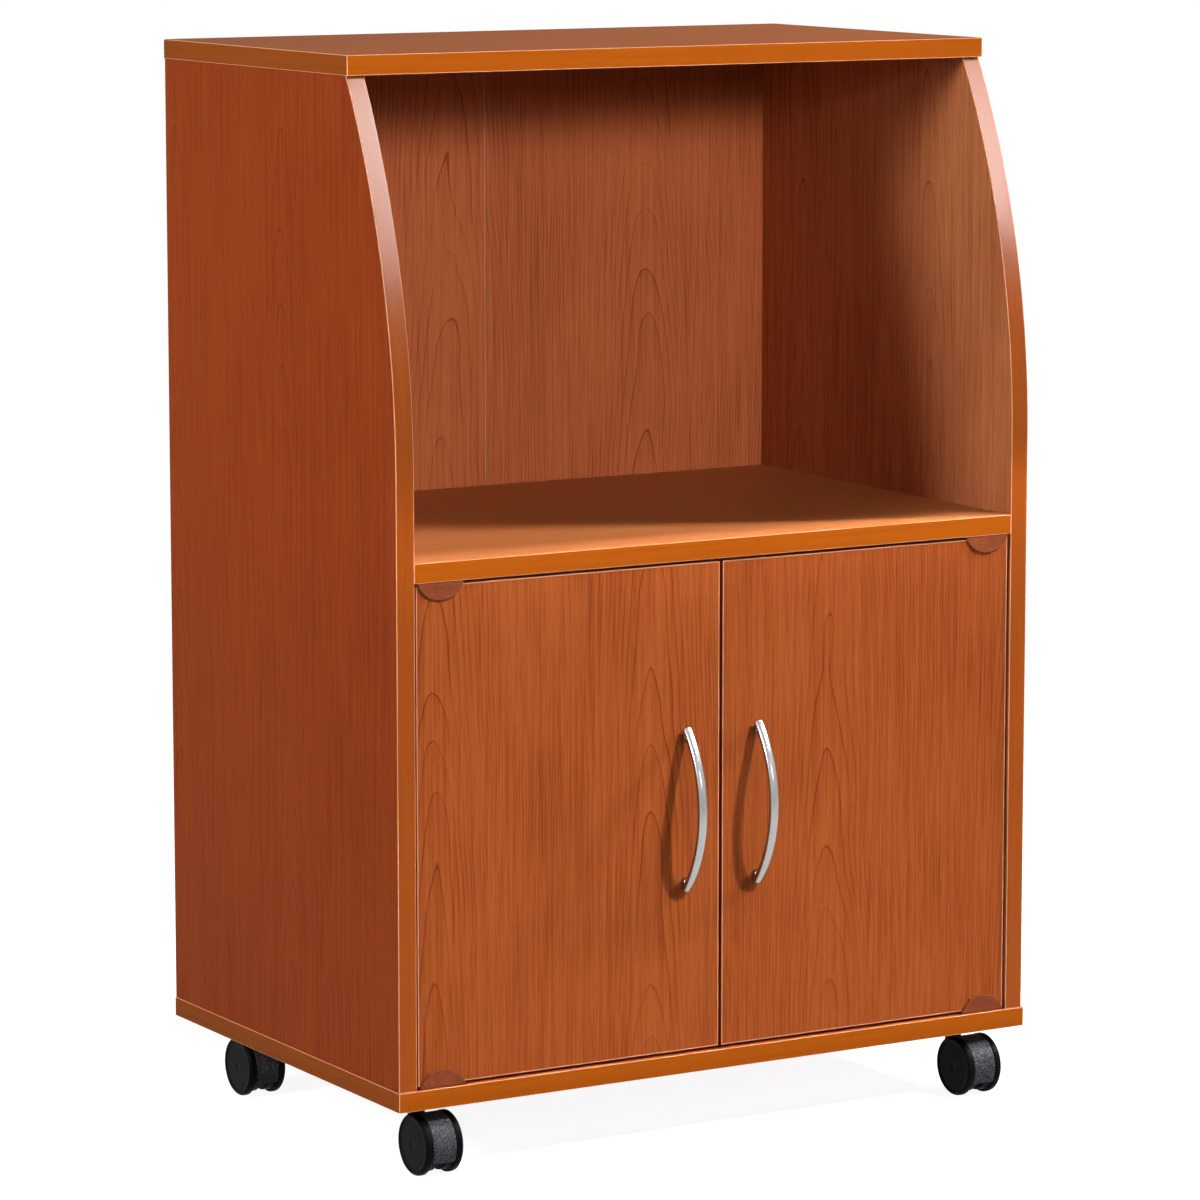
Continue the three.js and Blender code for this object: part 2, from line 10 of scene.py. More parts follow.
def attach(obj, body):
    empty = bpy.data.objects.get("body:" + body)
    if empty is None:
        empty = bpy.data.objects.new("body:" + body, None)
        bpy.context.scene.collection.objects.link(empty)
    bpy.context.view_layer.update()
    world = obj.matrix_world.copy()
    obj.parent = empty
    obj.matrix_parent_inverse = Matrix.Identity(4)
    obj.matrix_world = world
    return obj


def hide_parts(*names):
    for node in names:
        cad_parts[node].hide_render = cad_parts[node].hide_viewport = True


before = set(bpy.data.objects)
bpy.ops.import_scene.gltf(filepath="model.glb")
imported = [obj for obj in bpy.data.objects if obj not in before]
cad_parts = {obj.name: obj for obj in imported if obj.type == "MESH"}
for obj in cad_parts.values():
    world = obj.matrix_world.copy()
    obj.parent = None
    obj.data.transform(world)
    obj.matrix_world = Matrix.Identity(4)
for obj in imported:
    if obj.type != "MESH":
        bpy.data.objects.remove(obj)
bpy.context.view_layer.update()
MM = 0.001
HANDS = (("left", -1), ("right", 1))
ENDS = (("top", 1), ("bottom", -1))

# ---------------------------------------------------------------------------
# Dimensions, most of them repeated from the CAD model, in millimetres and degrees
# ---------------------------------------------------------------------------

# Boards. A side's front edge is straight up to CURVE_START_Z, then curves back to the top
BOARD, STRIP, STRIP_LAP = 16.0, 1.0, 0.06
SIDE_INNER_X, SIDE_OUTER_X, SIDE_FRONT_Y = 283.0, 299.0, -184.5
CABINET_FLOOR_Z, TOP_UNDER_Z = 74.0, 871.0
CURVE_START_Z, CURVE_RUN, CURVE_STEPS = 560.0, 78.0, 96
CURVE_RISE = TOP_UNDER_Z - CURVE_START_Z
CURVE_RADIUS = (CURVE_RISE ** 2 + CURVE_RUN ** 2) / (2 * CURVE_RUN)

# Doors
DOOR_FACE_Y, DOOR_MIDDLE_Z, DOOR_HALF_HEIGHT = -182.5, 276.5, 200.0
PIVOT_X, PIVOT_Y = 259.3, -174.5
DOOR_GAP_END, CLEARANCE = 2.5, 0.3

# Handles, their feet and their screws
HANDLE_X, HANDLE_HALF_LENGTH, HANDLE_PROJECTION, HANDLE_END_HEIGHT = 34.0, 68.0, 31.0, 5.5
BAR_WIDTH, BAR_DEPTH, SECTION_POWER = 8.0, 6.9, 2.1
BAR_STEPS, BAR_SIDES = 90, 40
FOOT_HEIGHT, FOOT_RADIUS = 5.0, 3.5
SCREW_INSET, SCREW_REACH = 8.0, 3.0
SCREW_Z = HANDLE_HALF_LENGTH - SCREW_INSET
SHANK_RADIUS, TIP_RADIUS, TIP_LENGTH = 2.0, 1.6, 0.6
HEAD_RADIUS, HEAD_HEIGHT, DOME_STEP = 4.0, 2.4, 10

# Hinges: a half-round cap and a plug at each end of a door, a journal and the sleeve that it turns in
LEAF_HALF_WIDTH, LEAF_HEIGHT, LEAF_PROUD, LEAF_GAP = 21.0, 14.0, 1.9, 0.5
LEAF_RADIUS = (LEAF_HALF_WIDTH ** 2 + LEAF_HEIGHT ** 2) / (2 * LEAF_HEIGHT)
PLUG_HALF_WIDTH, PLUG_DEPTH, PLUG_HEIGHT = 13.0, 12.5, 10.0
JOURNAL_RADIUS, JOURNAL_ROOT, JOURNAL_SHORT = 3.0, 1.0, 1.0
BUSH_LENGTH, BUSH_RADIUS = 10.0, 4.5

# Casters. Heights are from the underside of the bottom panel, and the wheels trail towards the front
STEM_X, STEM_Y = 260.0, {"front": -140.5, "rear": 167.5}
BOTTOM_Z, WHEEL_RADIUS, CASTER_TRAIL = 58.0, 25.0, 24.0
AXLE_Z = WHEEL_RADIUS - BOTTOM_Z
AXLE_RADIUS, AXLE_HALF_LENGTH = 2.0, 13.4
STEM_RADIUS, STEM_TOP, STEM_SEAT = 4.0, 12.0, 2.0
SOCKET_RADIUS, SOCKET_HEIGHT, FLANGE_RADIUS, FLANGE_THICKNESS = 5.8, 13.0, 10.0, 1.5

# Hood: a shell from HOOD_REAR to HOOD_FRONT round the axle, a web between the wheels and a boss
HOOD_RADIUS, HOOD_THICKNESS, HOOD_HALF_WIDTH = 24.6, 1.8, 10.2
HOOD_REAR, HOOD_FRONT, HOOD_STEPS = 20.0, 210.0, 80
HOOD_MIDDLE_RADIUS = HOOD_RADIUS - HOOD_THICKNESS / 2
WEB_HALF, EYE_RADIUS, EYE_STEPS = 3.2, 6.0, 40
BOSS_RADIUS, BOSS_TOP, BOSS_BOTTOM, BOSS_LEAST_HEIGHT = 7.0, -2.1, -19.1, 2.0
BOSS_CHAMFER, BOSS_TOP_SHARE, BOSS_SIDES = 0.5, 0.93, 48

# Wheels: a drum of HUB_RADIUS turns inside the hood, the tread stands beside the hood, and the outer
# face has a shallow dish with a raised nave
WHEEL_INNER_X, WHEEL_OUTER_X, RIM_INNER_X = 3.5, 17.0, 10.5
HUB_GAP = 0.5
HUB_RADIUS = HOOD_RADIUS - HOOD_THICKNESS - HUB_GAP
BORE_END = 3.0
TREAD_CHAMFER_INSIDE, TREAD_CHAMFER_OUTSIDE = 0.8, 1.8
DISH_EDGE_RADIUS, DISH_RADIUS, DISH_FLAT_RADIUS = WHEEL_RADIUS - 3.4, WHEEL_RADIUS - 4.1, WHEEL_RADIUS - 8
DISH_DEPTH, NAVE_DEPTH, DIMPLE_DEPTH = 0.75, 0.45, 0.8
NAVE_RADIUS, DIMPLE_RADIUS = 3.6, 3.0

# Rounded edges and ends
BAND_EDGE, DOOR_BAND_EDGE, SIDE_BAND_EDGE = 0.5, 0.2, 0.6
JOINER_EDGE, CATCH_EDGE, STRIKE_EDGE = 0.2, 0.6, 0.35
HANDLE_EDGE, CAP_EDGE, PLUG_EDGE = 0.8, 0.55, 0.4
SHELL_EDGE, WEB_EDGE = 0.35, 0.3
PIN_ROUND, SPINDLE_ROUND, WHEEL_ROUND = 0.6, 0.4, 0.9
WELD_REACH, BEVEL_FROM_ANGLE = 0.01, 40

# Lathed forms: what counts as on the axis, and the steps and the share of a side that a rounding takes
ON_AXIS, ROUND_STEPS, ROUND_SHARE = 1e-6, 4, 0.45

# ---------------------------------------------------------------------------
# Linear colours, and the figure of the wood, in metres
# ---------------------------------------------------------------------------

# The sides' inner faces take a lighter, paler copy of the side colour: painted light inside the bay
SIDE_OUTER_RED = (0.280, 0.045, 0.006, 1.0)
SIDE_INNER_RED_PAINTED_LIGHT = (0.460, 0.162, 0.063, 1.0)
BOARD_RED = (0.300, 0.058, 0.012, 1.0)
DOOR_BROWN = (0.262, 0.0605, 0.0128, 1.0)
TOP_BROWN = (0.228, 0.061, 0.011, 1.0)
SHELF_BROWN = (0.420, 0.142, 0.044, 1.0)
BACK_BROWN = (0.350, 0.090, 0.029, 1.0)
HONEY_UPRIGHT = (0.228, 0.0435, 0.0010, 1.0)
HONEY_LEVEL = (0.275, 0.060, 0.0040, 1.0)
# Rounded edges of the strips: their pale core, lightened into a painted highlight along each edge
PALE_CORE_AND_HIGHLIGHT = (0.66, 0.30, 0.14, 1.0)
# Front faces of the door strips: a pale line, part pale core and part painted highlight; their other faces
# take DOOR_BROWN as painted shade in the gaps
DOOR_EDGE_CORE_AND_HIGHLIGHT = (0.49, 0.20, 0.11, 1.0)
CAP_BROWN = (0.152, 0.037, 0.0148, 1.0)
JOINER_BROWN = (0.430, 0.170, 0.080, 1.0)
HOOD_GREY = (0.046, 0.048, 0.054, 1.0)
WHEEL_BLACK = (0.0035, 0.0035, 0.0038, 1.0)
NICKEL = (0.365, 0.358, 0.347, 1.0)
ZINC = (0.60, 0.61, 0.62, 1.0)
WHITE = (1.0, 1.0, 1.0, 1.0)
PLAIN_WHITE_DISPLAYED = (217, 214, 207)

# Noise fields of the printed wood: cycles per metre across and along the grain, detail and roughness
WOOD_FIELDS = {
    "broad": (5.0, 1.2, 2.0, 0.5),
    "wobble": (11.0, 4.5, 2.0, 0.5),
    "fade": (14.0, 7.0, 1.0, 0.5),
    "fibre": (480.0, 9.0, 4.0, 0.75),
    "streak": (90.0, 1.6, 3.0, 0.6),
    "pore": (700.0, 45.0, 1.0, 0.5),
    "hair": (210.0, 3.0, 1.0, 0.5),
}
SEED_DIRECTION = (1.0, 0.7, 0.4)

# Spans of a noise field over which a feature fades in, and what it fades between
FADE_SPAN, FADE_RANGE = (0.42, 0.58), (0.35, 1.0)
PORE_SPAN, HAIR_SPAN = (0.58, 0.72), (0.0, 0.040)
HAIR_STREAK_SPAN, HAIR_STREAK_RANGE = (0.35, 0.6), (1.0, 0.25)
SCUFF_SPAN, NOISE_SPAN, FIBRE_SPAN = (0.66, 0.80), (0.3, 0.7), (0.2, 0.8)

# Growth rings tilted to the face, seen as arches side by side, dark at their apex and fainter beside it
RING_SPACING, RING_SLOPE, RING_LINE, RING_START, RING_SHIFT = 0.0036, 0.052, 0.0014, 0.9, 0.01
ARCH_PERIOD, ARCH_WOBBLE, ARCH_NARROWING, LEAST_RUN = 0.200, 0.016, 1.5, 0.0005
APEX_SPAN, FLANK_STRENGTH = (0.012, 0.050), 0.42

# What each feature adds to the wood's tone, and the factors on its colour from the darkest tone up
TONE_BASE, BROAD_WEIGHT, STREAK_WEIGHT, FIBRE_WEIGHT = 0.37, 0.30, 0.08, 1.15
RING_WEIGHT, PHASE_WEIGHT, PORE_WEIGHT, HAIR_WEIGHT = -0.50, 0.22, -0.09, -0.11
WOOD_TINTS = (
    (0.0, (0.50, 0.36, 0.34)),
    (0.30, (0.80, 0.70, 0.68)),
    (0.52, (1.0, 1.0, 1.0)),
    (0.78, (1.12, 1.22, 1.25)),
    (1.0, (1.24, 1.45, 1.55)),
)
PORE_RELIEF = 0.8

# Edge strips: cycles per metre along and across, detail, and their part in the tone
EDGE_STREAK, EDGE_BROAD, EDGE_SCUFF = (9.0, 620.0, 3.0), (3.5, 90.0, 2.0), (260.0, 420.0, 3.0)
EDGE_CONTRAST, SCUFF_WEIGHT = 0.35, 0.06
EDGE_TINTS = ((0.25, (0.80, 0.72, 0.70)), (0.5, (1.0, 1.0, 1.0)), (0.75, (1.10, 1.16, 1.25)))

# Plastic and metal: cycles per metre of their soft and brushed fields, and the range of the metal's tone
SOFT_CYCLES, MARK_CYCLES, BRUSH_ACROSS, BRUSH_ALONG = 45.0, 70.0, 2600.0, 60.0
METAL_RANGE = (0.90, 1.06)

# Parts of the normal along an axis at which a face begins to look that way, and at which it fully does
FACING_START, FACING_FULL = 0.6, 0.8

# Colour sockets of the mix node
MIX_A, MIX_B, MIX_RESULT = 6, 7, 2

# ---------------------------------------------------------------------------
# Floor, light and camera
# ---------------------------------------------------------------------------

# The floor stays lit up to FLOOR_NEAR from the cart and is plain white from FLOOR_FAR; FLOOR_LIFT is
# the emission that lifts its lit part to white wherever it is seen directly
FLOOR_HALF, FLOOR_NEAR, FLOOR_FAR, FLOOR_LIFT = 40.0, 1.0, 2.2, 0.92
FLOOR_DARK, FLOOR_PALE, FLOOR_CYCLES = 0.33, 0.37, 0.8
WORLD_FILL = 0.06

# Places of lamps that come more than once
MIDDLE = (0, 0, 0.6)
BAY_FRONT = (0, -0.184, 0.72)
BAY_GRID = {"azimuth": -3, "distance": 0.7, "size": (0.80, 0.46), "target": BAY_FRONT, "spread": 12.0}
FRONT_BOX = {"azimuth": -3, "elevation": 13, "distance": 3.2, "size": (1.0, 0.30), "target": MIDDLE}
LOW_SIDE = {"elevation": 15, "distance": 2.6, "size": (0.4, 0.4), "watts": 46, "target": MIDDLE}
HIGH_RIGHT = {"azimuth": 72, "elevation": 30, "distance": 2.6, "size": (0.25, 0.25), "target": MIDDLE}
SIDE_AZIMUTH = 79.4

# Camera fitted to the photograph's straight edges and corners of the cart: radians, millimetres and pixels
CAMERA_AZIMUTH, CAMERA_PITCH = 0.5353, 0.1504
CAMERA_PLACE = (-2246.1, -3778.0, 1086.9)
FOCAL_PIXELS, PHOTO_PIXELS = 5309.5, 1200
SENSOR_WIDTH, CLIP_END = 36.0, 100

# ---------------------------------------------------------------------------
# Node helpers
# ---------------------------------------------------------------------------


def srgb(r, g, b):
    """Linear colour of an 8-bit display colour."""
    def linear(v):
        v /= 255
        return v / 12.92 if v <= 0.04045 else ((v + 0.055) / 1.055) ** 2.4
    return (linear(r), linear(g), linear(b), 1.0)


def scaled(color, factor):
    return tuple(min(1.0, c * f) for c, f in zip(color[:3], factor)) + (1.0,)


def even(level):
    return (level, level, level)


def along(axis, across, lengthwise):
    """Scale vector: lengthwise on the grain's axis, across on the other two."""
    return tuple(lengthwise if "XYZ"[i] == axis else across for i in range(3))


class Tree:
    """A material's node tree, with short calls for the nodes that the finishes share."""

    def __init__(self, name):
        self.material = bpy.data.materials.new(name)
        self.material.use_nodes = True
        self.tree = self.material.node_tree
        self.tree.nodes.clear()
        self.output = self.add("ShaderNodeOutputMaterial")
        self.shader = self.add("ShaderNodeBsdfPrincipled")
        self.link(self.shader.outputs["BSDF"], self.output.inputs["Surface"])

    def add(self, kind, **settings):
        node = self.tree.nodes.new(kind)
        for key, value in settings.items():
            setattr(node, key, value)
        return node

    def link(self, source, target):
        self.tree.links.new(source, target)

    def coordinates(self, scale, offset=(0, 0, 0)):
        source = self.add("ShaderNodeTexCoord")
        mapping = self.add("ShaderNodeMapping")
        mapping.inputs["Scale"].default_value = scale
        mapping.inputs["Location"].default_value = offset
        self.link(source.outputs["Object"], mapping.inputs["Vector"])
        return mapping.outputs["Vector"]

    def axes(self, offset=(0, 0, 0)):
        """The object's X, Y and Z, each on its own."""
        parts = self.add("ShaderNodeSeparateXYZ")
        self.link(self.coordinates((1, 1, 1), offset), parts.inputs[0])
        return parts.outputs

    def noise(self, vector, detail=2.0, roughness=0.5):
        """Noise of one cycle per unit of the vector."""
        node = self.add("ShaderNodeTexNoise")
        for key, value in (("Scale", 1.0), ("Detail", detail), ("Roughness", roughness)):
            node.inputs[key].default_value = value
        self.link(vector, node.inputs["Vector"])
        return node.outputs["Fac"]

    def math(self, operation, a, b=None, clamp=False):
        node = self.add("ShaderNodeMath", operation=operation, use_clamp=clamp)
        for index, value in enumerate((a, b)):
            if value is None:
                continue
            if isinstance(value, (int, float)):
                node.inputs[index].default_value = value
            else:
                self.link(value, node.inputs[index])
        return node.outputs[0]

    def hypotenuse(self, a, b):
        squares = self.math("ADD", self.math("MULTIPLY", a, a), self.math("MULTIPLY", b, b))
        return self.math("SQRT", squares)

    def blend(self, base, parts):
        """A base value plus each field times its weight, kept between 0 and 1."""
        total = base
        for field, weight in parts:
            total = self.math("ADD", total, self.math("MULTIPLY", field, weight))
        return self.math("ADD", total, 0.0, clamp=True)

    def centred(self, field):
        return self.math("SUBTRACT", field, 0.5)

    def remap(self, value, span, wanted=(0.0, 1.0)):
        """A value's span stretched to the wanted one, and held at its ends."""
        node = self.add("ShaderNodeMapRange")
        for key, number in zip(("From Min", "From Max", "To Min", "To Max"), (*span, *wanted)):
            node.inputs[key].default_value = number
        self.link(value, node.inputs["Value"])
        return node.outputs["Result"]

    def tinted(self, tone, color, tints):
        """The colour times a factor that depends on the tone; tints holds (tone, factor) pairs."""
        node = self.add("ShaderNodeValToRGB")
        elements = node.color_ramp.elements
        stops = [(position, scaled(color, factor)) for position, factor in tints]
        elements[0].position, elements[0].color = stops[0]
        elements[1].position, elements[1].color = stops[-1]
        for position, stop_color in stops[1:-1]:
            elements.new(position).color = stop_color
        self.link(tone, node.inputs["Fac"])
        return node.outputs["Color"]

    def facing(self, axis, sign):
        """1 on faces that look along an axis of the object, 0 on the others."""
        parts = self.add("ShaderNodeSeparateXYZ")
        self.link(self.add("ShaderNodeTexCoord").outputs["Normal"], parts.inputs[0])
        return self.remap(parts.outputs[axis], (FACING_START * sign, FACING_FULL * sign))

    def mix(self, factor, a, b):
        node = self.add("ShaderNodeMix", data_type="RGBA")
        self.link(factor, node.inputs["Factor"])
        self.link(a, node.inputs[MIX_A])
        self.link(b, node.inputs[MIX_B])
        return node.outputs[MIX_RESULT]

    def bump(self, height, strength, distance):
        node = self.add("ShaderNodeBump")
        node.inputs["Strength"].default_value = strength
        node.inputs["Distance"].default_value = distance
        self.link(height, node.inputs["Height"])
        self.link(node.outputs["Normal"], self.shader.inputs["Normal"])

    def colored(self, color):
        self.link(color, self.shader.inputs["Base Color"])

    def roughened(self, field, span, roughness, swing):
        """Roughness that follows a field, from its base plus swing[0] to its base plus swing[1]."""
        wanted = (roughness + swing[0], roughness + swing[1])
        self.link(self.remap(field, span, wanted), self.shader.inputs["Roughness"])

    def set(self, **values):
        for key, value in values.items():
            self.shader.inputs[key.replace("_", " ")].default_value = value


# ---------------------------------------------------------------------------
# Finishes
# ---------------------------------------------------------------------------


def arches(t, along_axis, across_axis, start, centre, wobble):
    """Dark lines where tilted growth rings meet the face: nested arches between straight flanks."""
    axes = t.axes()
    sway = t.math("MULTIPLY", t.centred(wobble), ARCH_WOBBLE)
    lengthwise = t.math("ADD", axes[along_axis], start)
    across = t.math("ADD", t.math("ADD", axes[across_axis], centre), sway)
    across = t.math("MULTIPLY", t.math("PINGPONG", across, ARCH_PERIOD / 2), ARCH_NARROWING)
    depth = t.math("ADD", t.math("MULTIPLY", lengthwise, RING_SLOPE), sway)
    radius = t.hypotenuse(across, depth)
    phase = t.math("FRACT", t.math("DIVIDE", radius, RING_SPACING))
    share = t.math("MINIMUM", phase, t.math("SUBTRACT", 1.0, phase))
    nearest = t.math("MULTIPLY", share, RING_SPACING)
    run = t.hypotenuse(across, t.math("MULTIPLY", depth, RING_SLOPE))
    distance = t.math("DIVIDE", t.math("MULTIPLY", nearest, radius), t.math("MAXIMUM", run, LEAST_RUN))
    line = t.remap(distance, (0.0, RING_LINE), (1.0, 0.0))
    apex = t.remap(across, APEX_SPAN, (1.0, FLANK_STRENGTH))
    return t.math("MULTIPLY", line, apex), phase


def laminate(name, color, axes, seed, figure, roughness=0.42, specular=0.05, centre=0.0, outer=None,
             outer_sign=1):
    """Cherry-print laminate: arched growth rings, fibre streaks and short dark pores along the first axis.

    Faces that look outward along X take the outer colour, where one is given; the other faces keep the
    first colour, which for the sides is a lighter, paler copy as painted light inside the bay.
    """
    t = Tree(name)
    axis, across_axis = axes
    place = tuple(seed * share for share in SEED_DIRECTION)
    field = {}
    for key, (across, lengthwise, detail, coarse) in WOOD_FIELDS.items():
        field[key] = t.noise(t.coordinates(along(axis, across, lengthwise), place), detail, coarse)

    line, phase = arches(t, axis, across_axis, RING_START + seed * RING_SHIFT, centre, field["wobble"])
    fade = t.remap(field["fade"], FADE_SPAN, FADE_RANGE)
    ring = t.math("MULTIPLY", t.math("ADD", line, t.math("MULTIPLY", phase, PHASE_WEIGHT)), fade)
    pore = t.remap(field["pore"], PORE_SPAN)
    hair = t.remap(t.math("ABSOLUTE", t.centred(field["hair"])), HAIR_SPAN, (1.0, 0.0))
    hair = t.math("MULTIPLY", hair, t.remap(field["streak"], HAIR_STREAK_SPAN, HAIR_STREAK_RANGE))
    tone = t.blend(TONE_BASE, [
        (field["broad"], BROAD_WEIGHT),
        (t.centred(field["streak"]), STREAK_WEIGHT),
        (t.centred(field["fibre"]), FIBRE_WEIGHT),
        (ring, RING_WEIGHT * figure),
        (pore, PORE_WEIGHT),
        (hair, HAIR_WEIGHT),
    ])

    shade = t.tinted(tone, color, WOOD_TINTS)
    # Inner faces keep the lighter colour, painted light inside the bay; outward faces take the outer
    # colour
    if outer:
        shade = t.mix(t.facing("X", outer_sign), shade, t.tinted(tone, outer, WOOD_TINTS))
    t.colored(shade)
    t.roughened(field["fibre"], FIBRE_SPAN, roughness, (-0.05, 0.08))
    relief = t.math("SUBTRACT", field["fibre"], t.math("MULTIPLY", pore, PORE_RELIEF))
    t.bump(relief, strength=0.25, distance=0.00012)
    t.set(Specular_IOR_Level=specular)
    return t.material


def edging(name, color, level, seed, roughness=0.24, specular=0.15, front=None):
    """Edge strip: faint streaks along it and fine scuffs, with another colour on front faces where given.
    On the doors the front colour is a pale line, part pale core and part painted highlight, and the other
    faces keep a darker brown as painted shade in the gaps.

    A level strip runs round corners, so x + y is the way along it.
    """
    t = Tree(name)
    axes = t.axes((seed, seed, seed))
    if level:
        run, across = t.math("ADD", axes["X"], axes["Y"]), axes["Z"]
    else:
        run, across = axes["Z"], axes["X"]

    def strip(run_cycles, across_cycles, detail):
        vector = t.add("ShaderNodeCombineXYZ")
        t.link(t.math("MULTIPLY", run, run_cycles), vector.inputs[0])
        t.link(t.math("MULTIPLY", across, across_cycles), vector.inputs[1])
        return t.noise(vector.outputs[0], detail, 0.6)

    streak, broad = strip(*EDGE_STREAK), strip(*EDGE_BROAD)
    scuff = t.remap(strip(*EDGE_SCUFF), SCUFF_SPAN)
    parts = [(streak, EDGE_CONTRAST), (broad, EDGE_CONTRAST), (scuff, SCUFF_WEIGHT)]
    tone = t.blend(0.5 - EDGE_CONTRAST, parts)
    shade = t.tinted(tone, color, EDGE_TINTS)
    # Front faces take the front colour: on the doors a pale painted highlight line, with the other faces
    # left darker as painted shade in the gaps
    if front:
        shade = t.mix(t.facing("Y", -1), shade, t.tinted(tone, front, EDGE_TINTS))
    t.colored(shade)
    t.roughened(broad, NOISE_SPAN, roughness, (-0.02, 0.03))
    t.bump(streak, strength=0.08, distance=0.00004)
    t.set(Specular_IOR_Level=specular)
    return t.material


def three_tones(low, high):
    """Tints from low to high over the span that noise covers."""
    start, end = NOISE_SPAN
    return ((start, even(low)), ((start + end) / 2, even(1.0)), (end, even(high)))


def moulded(name, color, roughness, grain=900.0, depth=0.00008, spread=0.12, specular=0.4, fineness=0.4):
    """Moulded plastic: fine spark-erosion texture, soft tone changes and dulled patches."""
    t = Tree(name)
    fine = t.noise(t.coordinates(even(grain)), 3.0, 0.6)
    soft = t.noise(t.coordinates(even(SOFT_CYCLES)), 3.0)
    tone = t.blend(0.0, [(fine, fineness), (soft, 1 - fineness)])
    t.colored(t.tinted(tone, color, three_tones(max(0.0, 1 - spread), 1 + spread)))
    t.roughened(soft, NOISE_SPAN, roughness, (-0.06, 0.06))
    t.bump(fine, strength=0.3, distance=depth)
    t.set(Specular_IOR_Level=specular)
    return t.material


def metal(name, color, roughness):
    """Satin metal: fine brushing along Z and faint handling marks."""
    t = Tree(name)
    brush = t.noise(t.coordinates(along("Z", BRUSH_ACROSS, BRUSH_ALONG)), 2.0, 0.6)
    marks = t.noise(t.coordinates(even(MARK_CYCLES)), 4.0, 0.65)
    t.colored(t.tinted(t.blend(0.0, [(brush, 0.5), (marks, 0.5)]), color, three_tones(*METAL_RANGE)))
    t.roughened(marks, NOISE_SPAN, roughness, (-0.02, 0.03))
    t.bump(brush, strength=0.05, distance=0.00003)
    t.set(Metallic=1.0)
    return t.material


# The sides' inner faces are painted lighter and paler than their outer faces, as light inside the bay
side_left_wood = laminate("laminate_side_left_painted_inner_light", SIDE_INNER_RED_PAINTED_LIGHT, "ZY", seed=3.1, figure=0.6,
                          specular=0.02, outer=SIDE_OUTER_RED, outer_sign=-1)
side_right_wood = laminate("laminate_side_right_painted_inner_light", SIDE_INNER_RED_PAINTED_LIGHT, "ZY", seed=11.7, figure=1.0,
                           specular=0.02, centre=0.06, outer=SIDE_OUTER_RED)
door_left_wood = laminate("laminate_door_left", DOOR_BROWN, "ZX", seed=21.3, figure=1.1, centre=0.265)
door_right_wood = laminate("laminate_door_right", DOOR_BROWN, "ZX", seed=34.9, figure=0.9, centre=-0.105)
back_wood = laminate("printed_back", BACK_BROWN, "ZX", seed=47.2, figure=1.0, roughness=0.5,
                     specular=0.08, centre=-0.16)
shelf_wood = laminate("laminate_shelf", SHELF_BROWN, "XY", seed=58.8, figure=0.4, roughness=0.4)
bottom_wood = laminate("laminate_bottom", BOARD_RED, "XY", seed=63.4, figure=0.6)
top_wood = laminate("laminate_top", TOP_BROWN, "XY", seed=71.9, figure=0.3, roughness=0.55, specular=0.012)
band_x = edging("edging_level", HONEY_LEVEL, level=True, seed=2.0, specular=0.015)
band_z = edging("edging_upright", HONEY_UPRIGHT, level=False, seed=5.0)
band_rim_core_and_highlight = edging("edging_pale_core_and_painted_highlight", PALE_CORE_AND_HIGHLIGHT, level=False, seed=8.0, roughness=0.4)
# Door strips: door brown on the faces in the gaps as painted shade, and a pale front as a painted
# highlight
door_edge_highlight_and_shade = edging("edging_door_highlight_and_shade", DOOR_BROWN, level=False, seed=9.0, roughness=0.4, specular=0.1,
                   front=DOOR_EDGE_CORE_AND_HIGHLIGHT)
cap_plastic = moulded("hinge_red_brown", CAP_BROWN, 0.45, grain=420.0, depth=0.00020, spread=0.30,
                      specular=0.03)
white_plastic = moulded("plain_white", srgb(*PLAIN_WHITE_DISPLAYED), 0.5)
pale_plastic = moulded("pale_joiner", JOINER_BROWN, 0.5, specular=0.05)
hood_black = moulded("black_hood", HOOD_GREY, 0.50, grain=620.0, depth=0.00060, spread=1.6,
                     specular=0.06, fineness=0.85)
wheel_black = moulded("black_wheel", WHEEL_BLACK, 0.42, grain=700.0, depth=0.00010, spread=0.25,
                      specular=0.025)
satin = metal("satin_nickel", NICKEL, 0.22)
zinc = metal("zinc_plate", ZINC, 0.34)

# ---------------------------------------------------------------------------
# Piece helpers
# ---------------------------------------------------------------------------


def soften(piece, width, segments=2, rim_material=-1):
    """Rounds the sharp edges by a width in millimetres. Packed faces come apart, so a weld goes first."""
    weld = piece.modifiers.new("joined_faces", "WELD")
    weld.merge_threshold = WELD_REACH * MM
    bevel = piece.modifiers.new("edges", "BEVEL")
    bevel.width = width * MM
    bevel.segments = segments
    bevel.limit_method = "ANGLE"
    bevel.angle_limit = math.radians(BEVEL_FROM_ANGLE)
    bevel.material = rim_material
    bevel.harden_normals = True


def finish_mesh(bm, name, body, materials, replaces=(), sharp=35.0, bevel=0.0):
    """A piece from a bmesh in millimetres: scaled, shaded smooth up to an angle, bevelled, on its body."""
    bmesh.ops.scale(bm, vec=(MM, MM, MM), verts=bm.verts)
    bmesh.ops.recalc_face_normals(bm, faces=bm.faces)
    mesh = bpy.data.meshes.new(name)
    bm.to_mesh(mesh)
    bm.free()
    piece = bpy.data.objects.new(name, mesh)
    bpy.context.scene.collection.objects.link(piece)
    for material in materials:
        mesh.materials.append(material)
    mesh.shade_smooth()
    mesh.set_sharp_from_angle(angle=math.radians(sharp))
    if bevel:
        soften(piece, bevel, segments=3)
    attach(piece, body)
    if replaces:
        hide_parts(*replaces)
    return piece


def ring_skin(bm, rings):
    """Closed skin over rows of points, each row closed on itself."""
    rows = [[bm.verts.new(p) for p in ring] for ring in rings]
    count = len(rows[0])
    for low, high in zip(rows, rows[1:]):
        for j in range(count):
            k = (j + 1) % count
            bm.faces.new((low[j], low[k], high[k], high[j]))
    bm.faces.new(rows[0][::-1])
    bm.faces.new(rows[-1])


